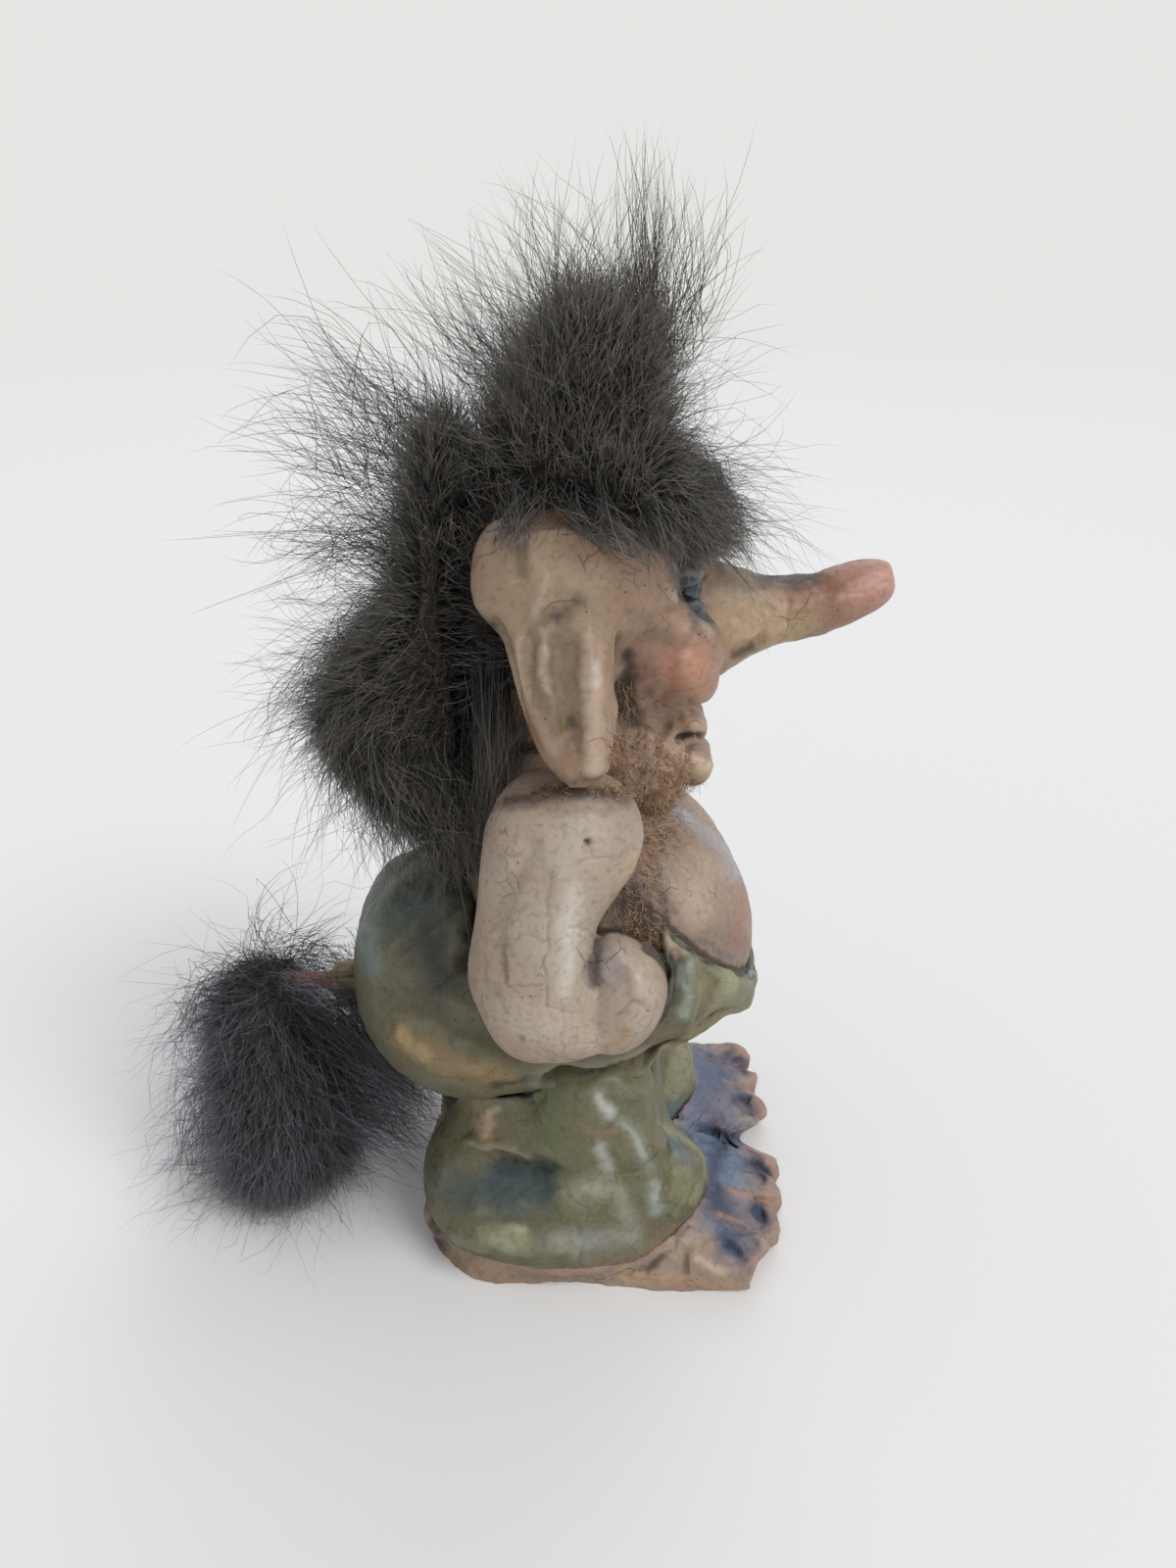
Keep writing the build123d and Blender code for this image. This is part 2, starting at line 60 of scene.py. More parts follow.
# The photograph's camera, level with the hair on the figure's right. Strokes below are in its pixels.
photo = {
    "eye": (-2.5 * mm, -149.2 * mm, 145 * mm),
    "tilt": math.atan(635 / 1250),  # down from level
    "focalPx": 1250,
    "wide": 1200,
    "high": 1600,
    "sensor": 36,  # millimetres along the longer side
}


def takePhoto():
    data = bpy.data.cameras.new("photoCamera")
    data.sensor_width = photo["sensor"]
    data.lens = photo["sensor"] * photo["focalPx"] / photo["high"]
    data.clip_start = 5 * mm
    camera = bpy.data.objects.new("photoCamera", data)
    camera.location = photo["eye"]
    camera.rotation_euler = (math.pi / 2 - photo["tilt"], 0, 0)
    bpy.context.scene.collection.objects.link(camera)
    bpy.context.scene.camera = camera


def photoPlaces(points, mirror=True):
    # Where the photograph shows points. Mirrored, a left side is read as the right's mirror image.
    eyeX, eyeY, eyeZ = photo["eye"]
    away = (-np.abs(points[:, 1]) if mirror else points[:, 1]) - eyeY
    rise = points[:, 2] - eyeZ
    cosine, sine = math.cos(photo["tilt"]), math.sin(photo["tilt"])
    depth = away * cosine - rise * sine
    across = photo["wide"] / 2 + photo["focalPx"] * (points[:, 0] - eyeX) / depth
    down = photo["high"] / 2 - photo["focalPx"] * (away * sine + rise * cosine) / depth
    return np.stack([across, down], axis=1)


def viewLines(points):
    # Unit lines from points to the camera, with the left side mirrored
    mirrored = points.copy()
    mirrored[:, 1] = -np.abs(mirrored[:, 1])
    lines = np.array(photo["eye"]) - mirrored
    return lines / np.linalg.norm(lines, axis=1, keepdims=True)


# Tones are written as the eye sees them, and shaders want them linear
def tone(text):
    parts = [int(text[i:i + 2], 16) / 255 for i in (1, 3, 5)]
    return np.array([c / 12.92 if c <= 0.04045 else ((c + 0.055) / 1.055) ** 2.4 for c in parts])


def ease(low, high, values):
    # 0 at low, 1 at high and smooth between
    t = np.clip((values - low) / (high - low), 0, 1)
    return t * t * (3 - 2 * t)


def meshPoints(mesh, field="vertices", item="co"):
    values = np.empty(len(getattr(mesh, field)) * 3, np.float32)
    getattr(mesh, field).foreach_get(item, values)
    return values.reshape(-1, 3).astype(float)


def vertexNormals(mesh):
    values = np.empty(len(mesh.vertices) * 3, np.float32)
    mesh.vertex_normals.foreach_get("vector", values)
    return values.reshape(-1, 3).astype(float)


def meshEdges(mesh):
    values = np.empty(len(mesh.edges) * 2, np.int32)
    mesh.edges.foreach_get("vertices", values)
    return values.reshape(-1, 2)


def setPoints(mesh, points):
    mesh.vertices.foreach_set("co", points.astype(np.float32).ravel())
    mesh.update()


def averaged(values, edges, rounds):
    # Each vertex takes the mean of its neighbours, over and over
    count = np.bincount(edges.ravel(), minlength=len(values)).reshape(-1, 1)
    flat = values.reshape(len(values), -1).astype(float)
    for _ in range(rounds):
        total = np.zeros_like(flat)
        for k in range(flat.shape[1]):
            total[:, k] += np.bincount(edges[:, 0], flat[edges[:, 1], k], len(flat))
            total[:, k] += np.bincount(edges[:, 1], flat[edges[:, 0], k], len(flat))
        flat = total / np.maximum(count, 1)
    return flat.reshape(values.shape)


def waves(points, size, seed):
    # A smooth wandering value of about -1 to 1, from crossing waves of this grain in millimetres
    rng = np.random.default_rng(seed)
    total = np.zeros(len(points))
    for _ in range(8):
        wave = rng.normal(size=3)
        wave *= rng.uniform(0.6, 1.7) * math.tau / (size * mm * np.linalg.norm(wave))
        total += np.sin(points @ wave + rng.uniform(0, math.tau))
    return total / 2.6


shakes = [(6, 0, 1.8), (1.7, 5, 0.7)]  # grain in millimetres, seed, pixels


def handPlaces(points, mirror=True):
    # Where the photograph shows points, pushed about so that strokes look hand made
    shaky = [sum(waves(points, size, k + seed) * by for size, seed, by in shakes) for k in (1, 2)]
    return photoPlaces(points, mirror) + np.stack(shaky, axis=1)


def strokeMask(places, line, wide):
    # 1 along a brush stroke, easing to 0 at its half width in pixels
    spots = np.array(line, float)
    nearest = np.full(len(places), np.inf)
    for a, b in zip(spots, spots[1:] if len(spots) > 1 else spots):
        run = b - a
        along = np.clip(((places - a) @ run) / max(run @ run, 1e-9), 0, 1)
        nearest = np.minimum(nearest, np.linalg.norm(places - a - along[:, None] * run, axis=1))
    return 1 - ease(0, wide, nearest)


def setValues(mesh, name, values):
    # One number or colour for each vertex, which a finish reads by its name
    kind = "FLOAT_COLOR" if values.ndim == 2 else "FLOAT"
    attribute = mesh.attributes.new(name, kind, "POINT")
    if values.ndim == 2:
        values = np.concatenate([values, np.ones((len(values), 1))], axis=1)
        attribute.data.foreach_set("color", values.astype(np.float32).ravel())
    else:
        attribute.data.foreach_set("value", values.astype(np.float32))


def joined(meshes):
    bm = bmesh.new()
    for mesh in meshes:
        bm.from_mesh(mesh)
    return bm


def cadCopy(nodes):
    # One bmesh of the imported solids, merged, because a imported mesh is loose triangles
    bm = joined([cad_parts[node].data for node in nodes])
    bmesh.ops.remove_doubles(bm, verts=bm.verts, dist=0.001 * mm)
    return bm


def treeFrom(bm):
    tree = BVHTree.FromBMesh(bm)
    bm.free()
    return tree


def meshFrom(name, bm):
    mesh = bpy.data.meshes.new(name)
    bm.to_mesh(mesh)
    bm.free()
    return mesh


def pieceObject(name, mesh):
    piece = bpy.data.objects.new(name, mesh)
    bpy.context.scene.collection.objects.link(piece)
    return piece


def finished(piece):
    # The mesh with its modifiers applied, in place of the piece's own
    view = bpy.context.evaluated_depsgraph_get()
    mesh = bpy.data.meshes.new_from_object(piece.evaluated_get(view), depsgraph=view)
    piece.modifiers.clear()
    old, piece.data = piece.data, mesh
    bpy.data.meshes.remove(old)
    mesh.name = piece.name
    return mesh


def largestShell(mesh):
    # Drops the small bubbles that a remesh leaves in the bond lines
    bm = joined([mesh])
    unseen, shells = set(bm.verts), []
    while unseen:
        front = [unseen.pop()]
        shell = list(front)
        while front:
            beside = {edge.other_vert(vert) for vert in front for edge in vert.link_edges}
            front = list(beside & unseen)
            unseen.difference_update(front)
            shell += front
        shells.append(shell)
    shells.sort(key=len)
    loose = [v for shell in shells[:-1] for v in shell]
    bmesh.ops.delete(bm, geom=loose, context="VERTS")
    bm.to_mesh(mesh)
    bm.free()


def lumps(piece, name, size, strength):
    texture = bpy.data.textures.new(name, "CLOUDS")
    texture.noise_scale = size * mm
    texture.noise_depth = 3
    push = piece.modifiers.new(name, "DISPLACE")
    push.texture = texture
    push.strength = strength * mm
    push.mid_level = 0.5


def nearShare(points, tree, near, far):
    # 1 where another piece is nearer than near, easing to 0 at far, in millimetres
    gaps = np.array([tree.find_nearest(p, far * mm)[3] or far * mm for p in map(Vector, points)])
    return 1 - ease(near * mm, far * mm, gaps)


def trim(points, rows, shares, mirror=True):
    # Moves points under strokes of the photograph, by each row's own millimetres
    for _, owner, wide, way, line in rows:
        mask = strokeMask(photoPlaces(points, mirror), line, wide) * shares[owner]
        move = np.array(way) * mm * mask[:, None]
        move[:, 1] *= -np.sign(points[:, 1])
        points += move


def melted(name, spec):
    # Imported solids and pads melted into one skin, with the lumps of a hand-made model
    bm = cadCopy(spec["nodes"])
    for _, (x, y, z), radii in spec.get("pads", ()):
        for side in spec.get("sides", (-1, 1)):
            place = Matrix.Translation(Vector((x, side * y, z)) * mm)
            place = place @ Matrix.Diagonal((*[r * mm for r in radii], 1))
            bmesh.ops.create_icosphere(bm, subdivisions=3, radius=1, matrix=place)
    piece = pieceObject(name, meshFrom(name, bm))
    swell = piece.modifiers.new("swell", "DISPLACE")  # closes the bond lines
    swell.strength, swell.mid_level = spec.get("swell", 0.16) * mm, 0
    melt = piece.modifiers.new("melt", "REMESH")
    melt.mode, melt.voxel_size, melt.use_smooth_shade = "VOXEL", spec["voxel"] * mm, True
    soften = piece.modifiers.new("soften", "SMOOTH")
    soften.factor, soften.iterations = 0.5, spec["smooth"]
    for lump, (size, strength) in spec["lumps"].items():
        lumps(piece, lump, size, strength)
    largestShell(finished(piece))
    return piece


calmRounds = 120  # how far a blend smooths away a piece's own forms
facingUs = (-0.05, 0.3)  # cosines to the camera from which strokes start, and fully tell


def sculpt(name, spec):
    # A melted skin, then carved, trimmed, smoothed and painted like the cast
    piece = melted(name, spec)
    mesh = piece.data
    points, normals, edges = meshPoints(mesh), vertexNormals(mesh), meshEdges(mesh)
    shares = owners(points, edges, spec["nodes"])
    facing = (mirroredNormals(points, normals) * viewLines(points)).sum(axis=1)
    facing = ease(*facingUs, facing)
    mirror = spec.get("mirror", True)
    places = handPlaces(points, mirror)
    shift = np.zeros(len(points))
    for _, owner, wide, deep, line in spec["carve"]:
        shift += strokeMask(places, line, wide) * deep * mm * facing * shares[owner]
    points += normals * shift[:, None]
    trim(points, spec.get("trim", ()), shares, mirror)
    if "blend" in spec:
        calm = averaged(points, edges, calmRounds)
        for _, owner, wide, share, line in spec["blend"]:
            mask = strokeMask(places, line, wide) * share * facing * shares[owner]
            points += (calm - points) * mask[:, None]
    points[:, 2] = np.maximum(points[:, 2], 0)
    setPoints(mesh, points)
    paint(mesh, spec, shares, edges)
    mesh.materials.append(spec["finish"])
    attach(piece, "root")
    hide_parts(*spec["nodes"])
    print(name, "sculpted,", len(mesh.polygons), "faces")


def mirroredNormals(points, normals):
    # The left side's normals turned as the right's mirror image
    turned = normals.copy()
    turned[:, 1] *= -np.sign(points[:, 1])
    turned[points[:, 1] == 0, 1] = normals[points[:, 1] == 0, 1]
    return turned


def owners(points, edges, nodes):
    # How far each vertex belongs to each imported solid, with the sides named alike
    kinds = sorted({node.replace("right_", "").replace("left_", "") for node in nodes})
    gaps = []
    for kind in kinds:
        tree = treeFrom(cadCopy([node for node in nodes if node.endswith(kind)]))
        gaps.append([tree.find_nearest(p)[3] for p in map(Vector, points)])
    nearest = np.argmin(np.array(gaps), axis=0)
    shares = {k: averaged((nearest == i).astype(float), edges, 2) for i, k in enumerate(kinds)}
    shares["all"] = np.ones(len(points))
    return shares


hollowRounds = 24  # how wide the hollows and ridges are that take patina with painted shade, and wear
patinaShadeFrom, wearFrom = (0.3, 2.2), (0.2, 1.6)  # voxels sunk or raised, where it starts and is full


def paint(mesh, spec, shares, edges):
    # Colour from strokes over the base, patina and painted shade in the hollows and beside other pieces,
    # wear on ridges
    points, normals = meshPoints(mesh), vertexNormals(mesh)
    places = handPlaces(points, spec.get("mirror", True))
    sunk = averaged(points, edges, hollowRounds) - points
    cavity = (sunk * normals).sum(axis=1) / (spec["voxel"] * mm)
    colour = np.tile(tone(spec["base"]), (len(points), 1))
    for _, owner, wide, shade, strength, line in spec["paint"]:
        mask = (strokeMask(places, line, wide) * strength * shares[owner])[:, None]
        colour += (tone(shade) - colour) * mask
    # Darker in the hollows and where another piece lies close: patina, with painted shade where shade
    # falls
    grime = ease(*patinaShadeFrom, cavity)
    neighbours = treeFrom(cadCopy(spec["neighbours"]))
    grime = np.maximum(grime, nearShare(points, neighbours, *spec["seam"]))
    # Stroke rows add patina and painted shade, or lessen it where their strength is below 0
    for _, owner, wide, strength, line in spec["grime"]:
        mask = strokeMask(places, line, wide) * strength * shares[owner]
        grime = 1 - (1 - grime) * (1 - mask) if strength > 0 else grime * (1 + mask)
    setValues(mesh, "paint", colour)
    setValues(mesh, "grime", np.clip(averaged(grime, edges, 1), 0, 1))
    setValues(mesh, "worn", ease(*wearFrom, -cavity))


# Shader sums: a wire is a socket, and sums on wires add Math nodes
class Wire:
    def __init__(self, nodes, socket):
        self.nodes, self.socket = nodes, socket

    def sum(self, operation, first, second):
        return self.nodes.node("ShaderNodeMath", {"operation": operation}, {0: first, 1: second})

    def __add__(self, other):
        return self.sum("ADD", self, other)

    def __radd__(self, other):
        return self.sum("ADD", other, self)

    def __sub__(self, other):
        return self.sum("SUBTRACT", self, other)

    def __rsub__(self, other):
        return self.sum("SUBTRACT", other, self)

    def __mul__(self, other):
        return self.sum("MULTIPLY", self, other)

    def __rmul__(self, other):
        return self.sum("MULTIPLY", other, self)

    def most(self, other):
        return self.sum("MAXIMUM", self, other)


class Nodes:
    def __init__(self, tree):
        self.tree = tree

    def node(self, kind, settings, sockets, out=0):
        node = self.tree.nodes.new(kind)
        for key, value in settings.items():
            if key == "stops":
                self.setStops(node.color_ramp.elements, value)
            else:
                setattr(node, key, value)
        for key, value in sockets.items():
            self.feed(node.inputs[key], value)
        return Wire(self, node.outputs[out])

    def setStops(self, elements, stops):
        while len(elements) < len(stops):
            elements.new(0.5)
        for element, (place, shade) in zip(elements, stops):
            element.position, element.color = place, (*tone(shade), 1)

    def feed(self, socket, value):
        if isinstance(value, Wire):
            self.tree.links.new(value.socket, socket)
        elif isinstance(value, np.ndarray):
            socket.default_value = (*value, 1)
        else:
            socket.default_value = value


class Finish(Nodes):
    def __init__(self, name):
        self.material = bpy.data.materials.new(name)
        self.material.use_nodes = True
        super().__init__(self.material.node_tree)
        self.shader = self.tree.nodes["Principled BSDF"]

    def put(self, **sockets):
        for name, value in sockets.items():
            self.feed(self.shader.inputs[name.replace("_", " ")], value)

    def places(self):
        return self.node("ShaderNodeTexCoord", {}, {}, "Object")

    def attribute(self, name, out="Fac"):
        return self.node("ShaderNodeAttribute", {"attribute_name": name}, {}, out)

    def noise(self, size, detail, where, out=0):
        # size is the grain in millimetres
        sockets = {"Vector": where, "Scale": 1 / (size * mm), "Detail": detail}
        return self.node("ShaderNodeTexNoise", {}, sockets, out)

    def cells(self, size, feature, where):
        sockets = {"Vector": where, "Scale": 1 / (size * mm)}
        return self.node("ShaderNodeTexVoronoi", {"feature": feature}, sockets, "Distance")

    def between(self, value, low, high):
        sockets = {"Value": value, "From Min": low, "From Max": high}
        return self.node("ShaderNodeMapRange", {"interpolation_type": "SMOOTHSTEP"}, sockets)

    def mix(self, share, first, second, blend="MIX"):
        settings = {"data_type": "RGBA", "blend_type": blend}
        return self.node("ShaderNodeMix", settings, {0: share, 6: first, 7: second}, 2)

    def vector(self, operation, sockets, out=0):
        return self.node("ShaderNodeVectorMath", {"operation": operation}, sockets, out)

    def shifted(self, where, by, size):
        # Places pushed about by a noise, so that what reads them wanders
        push = self.noise(size, 2, where, "Color")
        return self.vector("ADD", {0: where, 1: self.vector("SCALE", {0: push, "Scale": by * mm})})

    def bump(self, height, depth):
        sockets = {"Height": height, "Distance": depth * mm, "Strength": 1.0}
        return self.node("ShaderNodeBump", {}, sockets)


def paintedRubber(name, spec):
    # Cast rubber compound: hand paint, a dark wash with painted shade in the hollows and beside other
    # pieces, fine cracks and varnish
    finish = Finish(name)
    where = finish.places()
    colour = finish.attribute("paint", "Color")
    mottle = finish.between(finish.noise(spec["mottle"], 4, where), 0.3, 0.7)
    blushed = finish.mix(1.0, colour, tone(spec["blush"]), "MULTIPLY")
    colour = finish.mix(mottle * 0.45, colour, blushed)
    fine = finish.noise(0.8, 4, where)
    dulled = finish.mix(1.0, colour, tone("#9a8a7a"), "MULTIPLY")
    colour = finish.mix(finish.between(fine, 0.45, 0.75) * 0.35, colour, dulled)
    streak = finish.node("ShaderNodeMapping", {}, {0: where, "Scale": (1.0, 1.0, 0.3)})
    wash = finish.between(finish.noise(2.2, 5, streak), 0.52, 0.7)
    colour = finish.mix(wash * spec["washShare"], colour, tone(spec["wash"]))
    # Cracks run between uneven cells, and only here and there
    bent = finish.shifted(where, 2.2, 3.0)
    edge = finish.cells(spec["crackSize"], "DISTANCE_TO_EDGE", bent)
    there = finish.between(finish.noise(7, 2, where), *spec["crackWhere"])
    crack = (1 - finish.between(edge, 0.002, 0.011)) * there
    fineEdge = finish.cells(spec["crackSize"] * 0.38, "DISTANCE_TO_EDGE", bent)
    fineThere = finish.between(finish.noise(4, 2, finish.shifted(where, 6, 20)), 0.58, 0.66)
    fineCrack = (1 - finish.between(fineEdge, 0.006, 0.028)) * fineThere
    crack = crack.most(fineCrack * 0.6)
    colour = finish.mix(crack * spec["crackDark"], colour, tone("#5a4330"))
    pits = 1 - finish.between(finish.cells(1.5, "F1", where), 0.03, 0.11)
    pits = pits * finish.between(finish.noise(4, 1, where), 0.45, 0.58)
    colour = finish.mix(pits * 0.7, colour, tone("#3a2c24"))
    # Patina and painted shade, broken up by noise, darken the colour and roughen the varnish
    grime = finish.attribute("grime")
    patinaShadeRub = finish.between(grime + (finish.noise(1.1, 5, where) - 0.5) * 0.9, 0.28, 0.85)
    colour = finish.mix(patinaShadeRub * spec["patinaShadeShare"], colour, tone(spec["patinaShadeTone"]))
    worn = finish.attribute("worn")
    colour = finish.mix(worn * spec["wornShare"], colour, tone(spec["wornTone"]))
    sockets = {"Color": colour, "Saturation": spec["vivid"], "Value": spec["light"]}
    finish.put(Base_Color=finish.node("ShaderNodeHueSaturation", {}, sockets))
    finish.put(Roughness=spec["rough"] + (fine - 0.5) * 0.25 + patinaShadeRub * 0.3)
    height = fine * 0.3 - crack * 0.6 - pits * 0.8 + finish.noise(0.35, 3, where) * 0.2
    finish.put(Normal=finish.bump(height, spec["bump"]))
    finish.put(Coat_Weight=spec["varnish"], Coat_Roughness=0.28, Specular_IOR_Level=0.45)
    return finish.material


# Each finish's dark tone and share for the hollows stand for patina and painted shade
skinFinish = paintedRubber("paintedSkin", {
    "mottle": 6, "blush": "#ead8c4", "wash": "#8f745a", "washShare": 0.2,
    "crackSize": 8, "crackWhere": (0.6, 0.66), "crackDark": 0.5,
    "patinaShadeTone": "#41352f", "patinaShadeShare": 0.85, "wornTone": "#e4d8c8", "wornShare": 0.2,
    "rough": 0.52, "bump": 0.15, "varnish": 0.1, "vivid": 0.8, "light": 0.87,
})
trouserFinish = paintedRubber("paintedTrousers", {
    "mottle": 5, "blush": "#e0dcae", "wash": "#55604e", "washShare": 0.35,
    "crackSize": 9, "crackWhere": (0.6, 0.67), "crackDark": 0.4,
    "patinaShadeTone": "#2f3028", "patinaShadeShare": 0.85, "wornTone": "#b3b198", "wornShare": 0.25,
    "rough": 0.54, "bump": 0.16, "varnish": 0.07, "vivid": 0.88, "light": 0.92,
})
feetFinish = paintedRubber("paintedFeet", {
    "mottle": 4, "blush": "#d8c0c8", "wash": "#5a6478", "washShare": 0.35,
    "crackSize": 9, "crackWhere": (0.6, 0.67), "crackDark": 0.35,
    "patinaShadeTone": "#2c2c36", "patinaShadeShare": 0.8, "wornTone": "#b5917e", "wornShare": 0.4,
    "rough": 0.58, "bump": 0.18, "varnish": 0.04, "vivid": 1.0, "light": 0.93,
})
